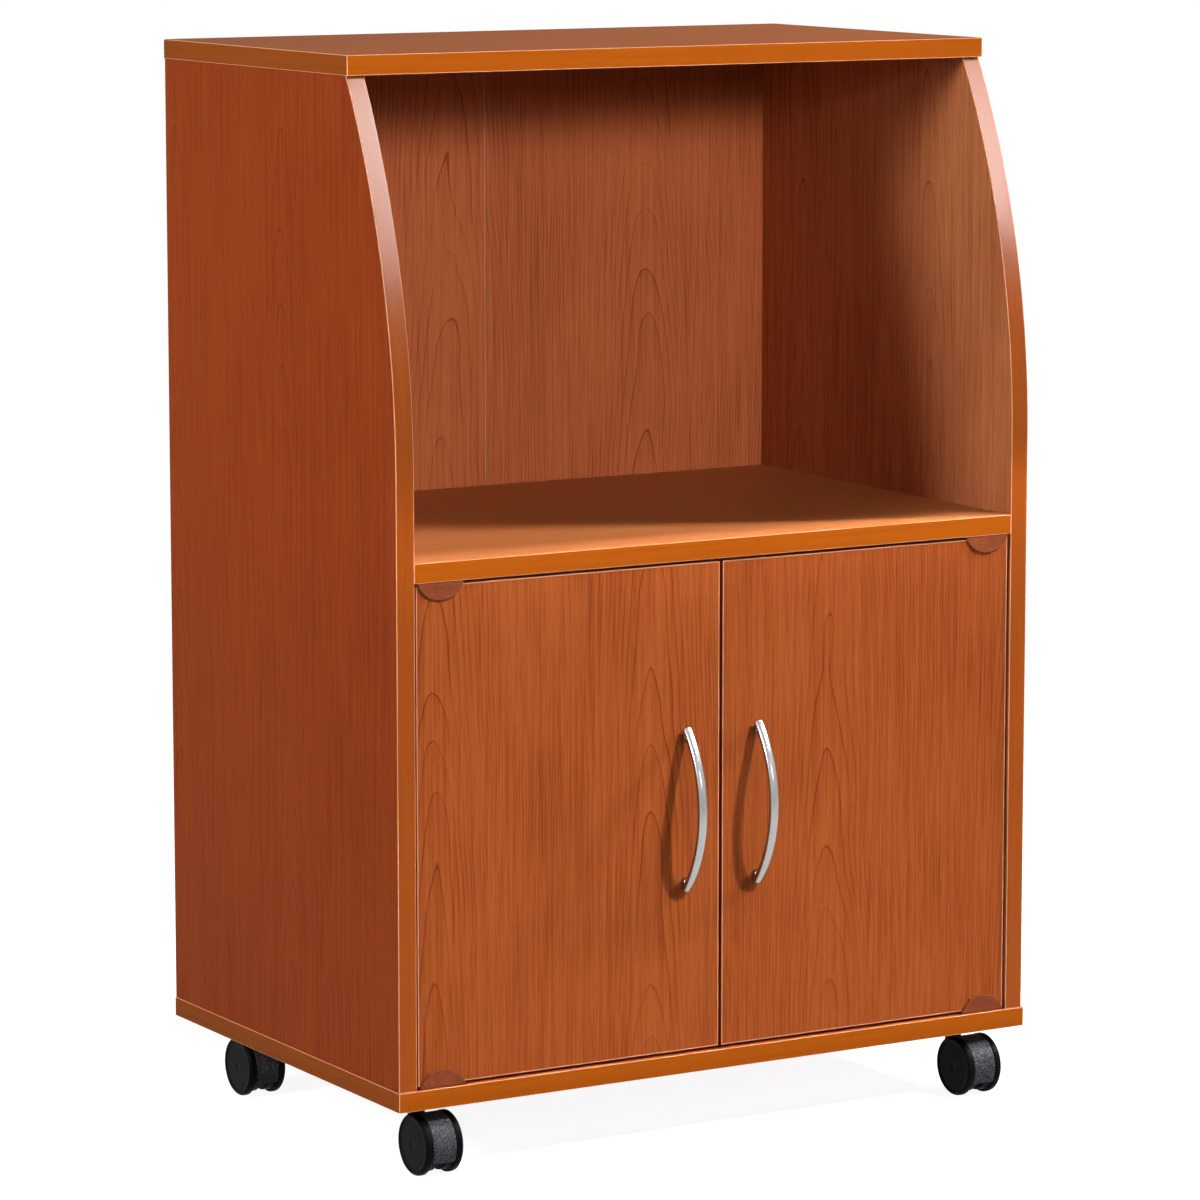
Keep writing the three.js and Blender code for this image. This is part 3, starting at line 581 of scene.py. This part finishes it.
def lathe(bm, profile, place, sides):
    """Solid of revolution from (radius, height) pairs; place maps (x, y, height) to a point."""
    angles = [2 * math.pi * i / sides for i in range(sides)]
    rows = []
    for radius, height in profile:
        if radius < ON_AXIS:
            points = [(0, 0)]
        else:
            points = [(radius * math.cos(a), radius * math.sin(a)) for a in angles]
        rows.append([bm.verts.new(place(x, y, height)) for x, y in points])
    for low, high in zip(rows, rows[1:]):
        for j in range(sides):
            k = (j + 1) % sides
            corners = (low[j % len(low)], low[k % len(low)], high[k % len(high)], high[j % len(high)])
            corners = list(dict.fromkeys(corners))
            if len(corners) > 2:
                bm.faces.new(corners)


def prism(bm, outline, start, end, place):
    """Closed outline given thickness; place maps (a, b, thickness) to a point."""
    ring_skin(bm, [[place(a, b, t) for a, b in outline] for t in (start, end)])


def arc(a, b, radius, start, end, steps):
    """Points on an arc about (a, b), from a start angle to an end angle in degrees."""
    angles = [math.radians(start + (end - start) * i / steps) for i in range(steps + 1)]
    return [(a + radius * math.cos(g), b + radius * math.sin(g)) for g in angles]


def fillet(profile, radius):
    """Rounds the inner corners of an open (radius, height) profile."""
    rounded = [profile[0]]
    for before, corner, after in zip(profile, profile[1:], profile[2:]):
        c = Vector(corner)
        a, b = Vector(before) - c, Vector(after) - c
        reach = min(radius, a.length * ROUND_SHARE, b.length * ROUND_SHARE)
        start, end = c + a.normalized() * reach, c + b.normalized() * reach
        for i in range(ROUND_STEPS + 1):
            s = i / ROUND_STEPS
            rounded.append(tuple(start * (1 - s) ** 2 + c * 2 * s * (1 - s) + end * s ** 2))
    return [*rounded, profile[-1]]


def assign(node, *materials):
    node.data.materials.clear()
    for material in materials:
        node.data.materials.append(material)


# ---------------------------------------------------------------------------
# Boards: the CAD solids with softened edges and printed grain
# ---------------------------------------------------------------------------


def dress_boards(nodes):
    boards = {
        "side_panel_left": side_left_wood,
        "side_panel_right": side_right_wood,
        "door_panel_left": door_left_wood,
        "door_panel_right": door_right_wood,
        "back_panel_left": back_wood,
        "back_panel_right": back_wood,
        "shelf_panel": shelf_wood,
        "bottom_panel": bottom_wood,
        "top_panel": top_wood,
    }
    for name, material in boards.items():
        assign(nodes[name], material)


def dress_strips(nodes):
    """Edge strips; the rounded edges of the level ones show the pale core, lightened into a painted
    highlight along each edge.
    """
    for board in ("top", "bottom", "shelf"):
        assign(nodes[f"{board}_band"], band_x, band_rim_core_and_highlight)
        soften(nodes[f"{board}_band"], BAND_EDGE, rim_material=1)
    # Door strips: pale front faces as a painted highlight, darker other faces and rounded edges as painted
    # shade in the gaps
    for hand, _ in HANDS:
        for strip in ("door_band", "door_hinge_band"):
            assign(nodes[f"{strip}_{hand}"], door_edge_highlight_and_shade, door_edge_highlight_and_shade)
            soften(nodes[f"{strip}_{hand}"], DOOR_BAND_EDGE, rim_material=1)


def dress_fittings(nodes):
    assign(nodes["back_joiner"], pale_plastic)
    soften(nodes["back_joiner"], JOINER_EDGE)
    assign(nodes["catch_housing"], white_plastic)
    soften(nodes["catch_housing"], CATCH_EDGE, segments=3)
    for hand, _ in HANDS:
        assign(nodes[f"strike_plate_{hand}"], zinc)
        soften(nodes[f"strike_plate_{hand}"], STRIKE_EDGE, segments=3)


def side_edge(inset):
    """Line in (y, z) at a depth behind a side's front edge."""
    radius = CURVE_RADIUS - inset
    sweep = math.degrees(math.asin(CURVE_RISE / radius))
    curve = arc(SIDE_FRONT_Y + CURVE_RADIUS, CURVE_START_Z, radius, 180, 180 - sweep, CURVE_STEPS)
    curve[-1] = (curve[-1][0], TOP_UNDER_Z)
    return [(SIDE_FRONT_Y + inset, CABINET_FLOOR_Z), *curve]


def side_strip(hand, side):
    """Strip on a side's front edge, which follows its curve."""
    x0, x1 = sorted((side * SIDE_INNER_X, side * SIDE_OUTER_X))
    rings = []
    for (ya, za), (yb, zb) in zip(side_edge(0), side_edge(STRIP + STRIP_LAP)):
        rings.append([(x0, ya, za), (x1, ya, za), (x1, yb, zb), (x0, yb, zb)])
    bm = bmesh.new()
    ring_skin(bm, rings)
    # Its rounded edges take the pale core colour too, lightened into a painted highlight
    strip = finish_mesh(bm, f"edge_band_side_{hand}", "cabinet", [band_z, band_rim_core_and_highlight],
                        [f"side_band_{hand}"])
    soften(strip, SIDE_BAND_EDGE, rim_material=1)


# ---------------------------------------------------------------------------
# Handles
# ---------------------------------------------------------------------------


def bar_rings():
    """Sections of the bowed bar, whose blunt ends stop just short of the door."""
    rise = HANDLE_PROJECTION - HANDLE_END_HEIGHT
    outer = (HANDLE_HALF_LENGTH ** 2 + rise ** 2) / (2 * rise)
    middle = outer - BAR_DEPTH / 2
    centre_y = DOOR_FACE_Y - HANDLE_PROJECTION + outer
    sweep = math.asin(HANDLE_HALF_LENGTH / outer)
    rings = []
    for i in range(BAR_STEPS + 1):
        angle = -sweep + 2 * sweep * i / BAR_STEPS
        ring = []
        for j in range(BAR_SIDES):
            turn = 2 * math.pi * j / BAR_SIDES
            c, s = math.cos(turn), math.sin(turn)
            size = (abs(c) ** SECTION_POWER + abs(s) ** SECTION_POWER) ** (-1 / SECTION_POWER)
            radius = middle + BAR_DEPTH / 2 * s * size
            y = centre_y - radius * math.cos(angle)
            ring.append((BAR_WIDTH / 2 * c * size, y, DOOR_MIDDLE_Z + radius * math.sin(angle)))
        rings.append(ring)
    return rings


def handle(hand, side):
    """Bowed bar with a short foot over each screw."""
    bm = bmesh.new()
    ring_skin(bm, bar_rings())
    foot = [(0, -FOOT_HEIGHT), (FOOT_RADIUS, -FOOT_HEIGHT), (FOOT_RADIUS, 0), (0, 0)]
    for _, end in ENDS:
        z = DOOR_MIDDLE_Z + end * SCREW_Z
        lathe(bm, foot, lambda x, y, h: (x, DOOR_FACE_Y + h, z + y), sides=32)
    bmesh.ops.translate(bm, verts=bm.verts, vec=(side * HANDLE_X, 0, 0))
    finish_mesh(bm, f"bow_handle_{hand}", f"door_{hand}", [satin], [f"handle_{hand}"],
                sharp=50.0, bevel=HANDLE_EDGE)


def handle_screw(hand, side, end_name, end):
    """Screw from the inside of the door, with a domed head."""
    back_y = DOOR_FACE_Y + BOARD
    tip = -BOARD - SCREW_REACH
    quarter = [math.radians(a) for a in range(90, -1, -DOME_STEP)]
    dome = [(HEAD_RADIUS * math.sin(a), HEAD_HEIGHT * math.cos(a)) for a in quarter]
    profile = [(0, tip), (TIP_RADIUS, tip), (SHANK_RADIUS, tip + TIP_LENGTH), (SHANK_RADIUS, 0), *dome]
    bm = bmesh.new()
    lathe(bm, profile, lambda x, y, h: (x, back_y + h, y), sides=40)
    place = (side * HANDLE_X, 0, DOOR_MIDDLE_Z + end * SCREW_Z)
    bmesh.ops.translate(bm, verts=bm.verts, vec=place)
    finish_mesh(bm, f"machine_screw_{hand}_{end_name}", f"door_{hand}", [zinc],
                [f"handle_screw_{hand}_{end_name}"])


# ---------------------------------------------------------------------------
# Hinges
# ---------------------------------------------------------------------------


def hinge(hand, side, end_name, end):
    """Cap, plug and journal at one end of a door, and the sleeve in the board beyond it."""
    tag, door = f"{hand}_{end_name}", f"door_{hand}"
    board = DOOR_HALF_HEIGHT + DOOR_GAP_END
    plug_top = DOOR_HALF_HEIGHT - CLEARANCE

    def place(x, z, y):
        """x is from the pivot line, and z from the door's middle towards this end."""
        return (side * PIVOT_X + x, y, DOOR_MIDDLE_Z + end * z)

    def on_pivot(x, y, height):
        return place(x, height, PIVOT_Y + y)

    half = math.degrees(math.asin(LEAF_HALF_WIDTH / LEAF_RADIUS))
    centre = board - LEAF_GAP - LEAF_HEIGHT + LEAF_RADIUS
    outline = arc(0, centre, LEAF_RADIUS, 270 - half, 270 + half, steps=44)
    bm = bmesh.new()
    prism(bm, outline, DOOR_FACE_Y - LEAF_PROUD, DOOR_FACE_Y, place)
    finish_mesh(bm, f"hinge_cap_{tag}", door, [cap_plastic], [f"hinge_leaf_{tag}"],
                bevel=CAP_EDGE)

    w, low = PLUG_HALF_WIDTH, DOOR_HALF_HEIGHT - PLUG_HEIGHT
    bm = bmesh.new()
    prism(bm, [(-w, low), (w, low), (w, plug_top), (-w, plug_top)], DOOR_FACE_Y - LEAF_PROUD / 2,
          DOOR_FACE_Y + PLUG_DEPTH, place)
    finish_mesh(bm, f"hinge_plug_{tag}", door, [cap_plastic], bevel=PLUG_EDGE)

    root, tip = plug_top - JOURNAL_ROOT, board + BUSH_LENGTH - JOURNAL_SHORT
    profile = [(0, root), (JOURNAL_RADIUS, root), (JOURNAL_RADIUS, tip), (0, tip)]
    bm = bmesh.new()
    lathe(bm, fillet(profile, PIN_ROUND), on_pivot, sides=32)
    finish_mesh(bm, f"hinge_journal_{tag}", door, [cap_plastic])

    bore, far = JOURNAL_RADIUS + CLEARANCE, board + BUSH_LENGTH
    profile = [(bore, board), (BUSH_RADIUS, board), (BUSH_RADIUS, far), (bore, far), (bore, board)]
    bm = bmesh.new()
    lathe(bm, profile, on_pivot, sides=40)
    finish_mesh(bm, f"hinge_sleeve_{tag}", "cabinet", [white_plastic],
                [f"hinge_bush_{tag}"])


# ---------------------------------------------------------------------------
# Casters
# ---------------------------------------------------------------------------


def wheel_profile():
    """Outline of a wheel as (radius, distance from its inner face)."""
    wide = WHEEL_OUTER_X - WHEEL_INNER_X
    rim = RIM_INNER_X - WHEEL_INNER_X
    bore = AXLE_RADIUS + CLEARANCE
    shape = [
        (bore, wide - BORE_END),
        (bore, 0),
        (HUB_RADIUS, 0),
        (HUB_RADIUS, rim),
        (WHEEL_RADIUS - TREAD_CHAMFER_INSIDE, rim),
        (WHEEL_RADIUS, rim + TREAD_CHAMFER_INSIDE),
        (WHEEL_RADIUS, wide - TREAD_CHAMFER_OUTSIDE),
        (WHEEL_RADIUS - TREAD_CHAMFER_OUTSIDE, wide),
        (DISH_EDGE_RADIUS, wide),
        (DISH_RADIUS, wide - DISH_DEPTH),
        (DISH_FLAT_RADIUS, wide - DISH_DEPTH),
        (NAVE_RADIUS, wide - NAVE_DEPTH),
        (DIMPLE_RADIUS, wide - DIMPLE_DEPTH),
        (0, wide - DIMPLE_DEPTH),
    ]
    return [(0, wide - BORE_END), *fillet(shape, WHEEL_ROUND)]


def wheel(letter, tag, place):
    bm = bmesh.new()
    lathe(bm, wheel_profile(), place, sides=96)
    finish_mesh(bm, f"caster_disc_{letter}_{tag}", f"wheel_{letter}_{tag}", [wheel_black],
                [f"caster_wheel_{letter}_{tag}"], sharp=40.0)


def hood(tag, across):
    """Shell over the wheels, and the web between them with an eye for the axle."""
    centre = (-CASTER_TRAIL, AXLE_Z)
    outer = arc(*centre, HOOD_RADIUS, HOOD_REAR, HOOD_FRONT, HOOD_STEPS)
    inner = arc(*centre, HOOD_RADIUS - HOOD_THICKNESS, HOOD_FRONT, HOOD_REAR, HOOD_STEPS)
    bm = bmesh.new()
    prism(bm, [*outer, *inner], -HOOD_HALF_WIDTH, HOOD_HALF_WIDTH, across)
    finish_mesh(bm, f"caster_shell_{tag}", f"caster_{tag}", [hood_black],
                [f"caster_hood_{tag}"], bevel=SHELL_EDGE)

    outer = arc(*centre, HOOD_MIDDLE_RADIUS, HOOD_REAR, HOOD_FRONT, HOOD_STEPS)
    eye = arc(*centre, EYE_RADIUS, HOOD_FRONT, HOOD_REAR + 360, EYE_STEPS)
    bm = bmesh.new()
    prism(bm, [*outer, *eye], -WEB_HALF, WEB_HALF, across)
    finish_mesh(bm, f"caster_web_{tag}", f"caster_{tag}", [hood_black], bevel=WEB_EDGE)


def boss(tag, at):
    """Boss round the stem, which goes down to the hood's curve."""
    low, shoulder, top = [], [], []
    for i in range(BOSS_SIDES):
        a = 2 * math.pi * i / BOSS_SIDES
        x, y = BOSS_RADIUS * math.cos(a), BOSS_RADIUS * math.sin(a)
        curve = AXLE_Z + math.sqrt(max(0.0, HOOD_MIDDLE_RADIUS ** 2 - (y + CASTER_TRAIL) ** 2))
        low.append(at(x, y, max(BOSS_BOTTOM, min(curve, BOSS_TOP - BOSS_LEAST_HEIGHT))))
        shoulder.append(at(x, y, BOSS_TOP - BOSS_CHAMFER))
        top.append(at(x * BOSS_TOP_SHARE, y * BOSS_TOP_SHARE, BOSS_TOP))
    bm = bmesh.new()
    ring_skin(bm, [low, shoulder, top])
    finish_mesh(bm, f"caster_boss_{tag}", f"caster_{tag}", [hood_black])


def pin(tag, at):
    """Steel stem, seated in the boss."""
    foot = BOSS_BOTTOM + STEM_SEAT
    profile = [(0, foot), (STEM_RADIUS, foot), (STEM_RADIUS, STEM_TOP), (0, STEM_TOP)]
    bm = bmesh.new()
    lathe(bm, fillet(profile, PIN_ROUND), at, sides=32)
    finish_mesh(bm, f"caster_pin_{tag}", f"caster_{tag}", [zinc], [f"caster_stem_{tag}"])


def sleeve(tag, at):
    """Flanged sleeve pressed into the bottom panel, which the stem turns in."""
    bore = STEM_RADIUS + CLEARANCE
    profile = [
        (bore, -FLANGE_THICKNESS),
        (FLANGE_RADIUS, -FLANGE_THICKNESS),
        (FLANGE_RADIUS, 0),
        (SOCKET_RADIUS, 0),
        (SOCKET_RADIUS, SOCKET_HEIGHT),
        (bore, SOCKET_HEIGHT),
        (bore, -FLANGE_THICKNESS),
    ]
    bm = bmesh.new()
    lathe(bm, profile, at, sides=48)
    finish_mesh(bm, f"caster_sleeve_{tag}", "cabinet", [white_plastic],
                [f"caster_socket_{tag}"])


def spindle(tag, on_axle):
    half = AXLE_HALF_LENGTH
    profile = [(0, -half), (AXLE_RADIUS, -half), (AXLE_RADIUS, half), (0, half)]
    bm = bmesh.new()
    lathe(bm, fillet(profile, SPINDLE_ROUND), on_axle, sides=24)
    finish_mesh(bm, f"caster_spindle_{tag}", f"caster_{tag}", [zinc],
                [f"caster_axle_{tag}"])


def caster(place_name, hand, side):
    tag = f"{place_name}_{hand}"

    def at(x, y, z):
        """A point from where the stem meets the underside of the bottom panel."""
        return (side * STEM_X + x, STEM_Y[place_name] + y, BOTTOM_Z + z)

    def across(y, z, x):
        return at(x, y, z)

    def on_axle(y, z, x):
        return at(x, y - CASTER_TRAIL, AXLE_Z + z)

    for letter, way in (("a", -1), ("b", 1)):
        wheel(letter, tag, lambda y, z, h: on_axle(y, z, way * (WHEEL_INNER_X + h)))
    hood(tag, across)
    boss(tag, at)
    pin(tag, at)
    sleeve(tag, at)
    spindle(tag, on_axle)


# ---------------------------------------------------------------------------
# Studio
# ---------------------------------------------------------------------------


def mixed(tree, factor, first, second):
    """Shader that goes from the first to the second as the factor goes from 0 to 1."""
    node = tree.nodes.new("ShaderNodeMixShader")
    tree.links.new(factor, node.inputs["Fac"])
    tree.links.new(first, node.inputs[1])
    tree.links.new(second, node.inputs[2])
    return node.outputs[0]


def seen_directly(tree):
    """1 for camera, glossy and transmission rays, 0 for the light that surfaces scatter."""
    path = tree.nodes.new("ShaderNodeLightPath")
    total = path.outputs["Is Camera Ray"]
    for ray in ("Is Glossy Ray", "Is Transmission Ray"):
        node = tree.nodes.new("ShaderNodeMath")
        node.operation = "MAXIMUM"
        tree.links.new(total, node.inputs[0])
        tree.links.new(path.outputs[ray], node.inputs[1])
        total = node.outputs[0]
    return total


def studio_floor():
    """Pale floor: lit plainly round the cart, white to the camera and in reflections further out."""
    corners = [(x * FLOOR_HALF, y * FLOOR_HALF, 0) for x, y in ((-1, -1), (1, -1), (1, 1), (-1, 1))]
    mesh = bpy.data.meshes.new("studio_floor")
    mesh.from_pydata(corners, [], [(0, 1, 2, 3)])
    floor = bpy.data.objects.new("studio_floor", mesh)
    bpy.context.scene.collection.objects.link(floor)

    t = Tree("white_sweep")
    start, end = NOISE_SPAN
    patches = t.noise(t.coordinates(even(FLOOR_CYCLES)))
    t.colored(t.tinted(patches, WHITE, ((start, even(FLOOR_DARK)), (end, even(FLOOR_PALE)))))
    t.set(Roughness=0.9, Specular_IOR_Level=0.0)
    lit = t.shader.outputs["BSDF"]
    white = t.add("ShaderNodeEmission")
    faint = t.add("ShaderNodeEmission")
    faint.inputs["Strength"].default_value = FLOOR_LIFT
    lifted = t.add("ShaderNodeAddShader")
    t.link(lit, lifted.inputs[0])
    t.link(faint.outputs[0], lifted.inputs[1])
    distance = t.add("ShaderNodeVectorMath", operation="LENGTH")
    t.link(t.coordinates(even(1)), distance.inputs[0])
    far = t.remap(distance.outputs["Value"], (FLOOR_NEAR, FLOOR_FAR))
    shown = mixed(t.tree, far, lifted.outputs[0], white.outputs[0])
    t.link(mixed(t.tree, seen_directly(t.tree), lit, shown), t.output.inputs["Surface"])
    mesh.materials.append(t.material)


def softbox(name, azimuth, elevation, distance, size, watts, target, spread=180.0, roll=0.0):
    """Area lamp aimed at a target, at an azimuth counted to the right from the doors' outward normal.

    A narrow spread stands for a grid in front of it. Angles are in degrees.
    """
    a, e = math.radians(azimuth), math.radians(elevation)
    toward = Vector((math.sin(a) * math.cos(e), -math.cos(a) * math.cos(e), math.sin(e)))
    light = bpy.data.lights.new(name, "AREA")
    light.shape = "RECTANGLE"
    light.size, light.size_y = size
    light.energy = watts
    light.spread = math.radians(spread)
    lamp = bpy.data.objects.new(name, light)
    lamp.location = Vector(target) + toward * distance
    lamp.rotation_mode = "QUATERNION"
    lamp.rotation_quaternion = toward.to_track_quat("Z", "Y") @ Quaternion((0, 0, 1), math.radians(roll))
    lamp.visible_camera = False
    bpy.context.scene.collection.objects.link(lamp)
    return lamp


def aim_at(lamp, names, state="INCLUDE"):
    """Makes a lamp light the named pieces alone, or every piece but them."""
    group = bpy.data.collections.new(f"{lamp.name}_{state.lower()}")
    for name in names:
        group.objects.link(bpy.data.objects[name])
    for entry in group.collection_objects:
        entry.light_linking.link_state = state
    lamp.light_linking.receiver_collection = group


def lamps():
    """The photo's light is regional, so several lamps have a grid or light named pieces only."""
    level_strips = ["top_band", "bottom_band"]
    door_key = softbox("door_key_grid", azimuth=33.4, elevation=46.5, distance=0.6, size=(0.80, 0.32),
                       watts=1.28, target=(0, -0.183, 0.275), spread=7.0, roll=-25.5)
    aim_at(door_key, ["side_panel_right"], "EXCLUDE")
    aim_at(softbox("bay_front_grid", elevation=13, watts=0.80, **BAY_GRID), ["shelf_panel"], "EXCLUDE")
    aim_at(softbox("bay_shelf_grid", elevation=11, watts=0.60, **BAY_GRID), ["shelf_panel"])
    softbox("front_fill", watts=13, **FRONT_BOX)
    softbox("left_side", azimuth=-SIDE_AZIMUTH, **LOW_SIDE)
    softbox("overhead", azimuth=180, elevation=75, distance=2.0, size=(0.8, 0.8), watts=11.8,
            target=(0, 0, 0.85))

    right_side = softbox("right_side", watts=102, **HIGH_RIGHT)
    aim_at(right_side, ["side_panel_right", *level_strips], "EXCLUDE")
    right_wall = softbox("right_wall", azimuth=SIDE_AZIMUTH, **LOW_SIDE)
    aim_at(right_wall, ["side_panel_right", *level_strips])
    aim_at(softbox("shelf_right", watts=38, **HIGH_RIGHT), ["shelf_panel"])
    for strip, watts in (("top_band", 68), ("bottom_band", 28)):
        aim_at(softbox(f"front_of_{strip}", watts=watts, **FRONT_BOX), [strip])

    rear = softbox("rear", azimuth=180, elevation=2, distance=2.6, size=(0.4, 0.4), watts=38,
                   target=(0, 0, 0.45))
    aim_at(rear, ["back_panel_left", "back_panel_right", "back_joiner", "side_panel_left",
                  "side_panel_right", "top_panel", "bottom_panel", *level_strips])

    gloss = softbox("band_gloss", azimuth=36.5, elevation=33, distance=3.4, size=(1.3, 1.8), watts=300,
                    target=(0, 0, 0.75))
    gloss.visible_diffuse = False
    aim_at(gloss, [f"edge_band_side_{hand}" for hand, _ in HANDS])


def white_world():
    """White background and reflections, with only a faint fill from it on the surfaces."""
    world = bpy.data.worlds.new("white_room")
    bpy.context.scene.world = world
    world.use_nodes = True
    tree = world.node_tree
    tree.nodes.clear()

    def background(strength):
        node = tree.nodes.new("ShaderNodeBackground")
        node.inputs["Color"].default_value = WHITE
        node.inputs["Strength"].default_value = strength
        return node.outputs[0]

    output = tree.nodes.new("ShaderNodeOutputWorld")
    surface = mixed(tree, seen_directly(tree), background(WORLD_FILL), background(1.0))
    tree.links.new(surface, output.inputs["Surface"])


def camera():
    """The photograph's viewpoint."""
    data = bpy.data.cameras.new("photo_camera")
    data.sensor_width = SENSOR_WIDTH
    data.lens = FOCAL_PIXELS / PHOTO_PIXELS * SENSOR_WIDTH
    data.clip_end = CLIP_END
    level = math.cos(CAMERA_PITCH)
    forward = Vector((math.sin(CAMERA_AZIMUTH) * level, math.cos(CAMERA_AZIMUTH) * level,
                      -math.sin(CAMERA_PITCH)))
    eye = bpy.data.objects.new("photo_camera", data)
    eye.location = Vector(CAMERA_PLACE) * MM
    eye.rotation_mode = "QUATERNION"
    eye.rotation_quaternion = forward.to_track_quat("-Z", "Y")
    bpy.context.scene.collection.objects.link(eye)
    bpy.context.scene.camera = eye


dress_boards(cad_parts)
dress_strips(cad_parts)
dress_fittings(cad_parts)
for hand, side in HANDS:
    side_strip(hand, side)
for hand, side in HANDS:
    handle(hand, side)
    for end_name, end in ENDS:
        handle_screw(hand, side, end_name, end)
for hand, side in HANDS:
    for end_name, end in ENDS:
        hinge(hand, side, end_name, end)
for place_name in STEM_Y:
    for hand, side in HANDS:
        caster(place_name, hand, side)

studio_floor()
lamps()
white_world()
camera()
bpy.context.scene.view_settings.view_transform = "Standard"
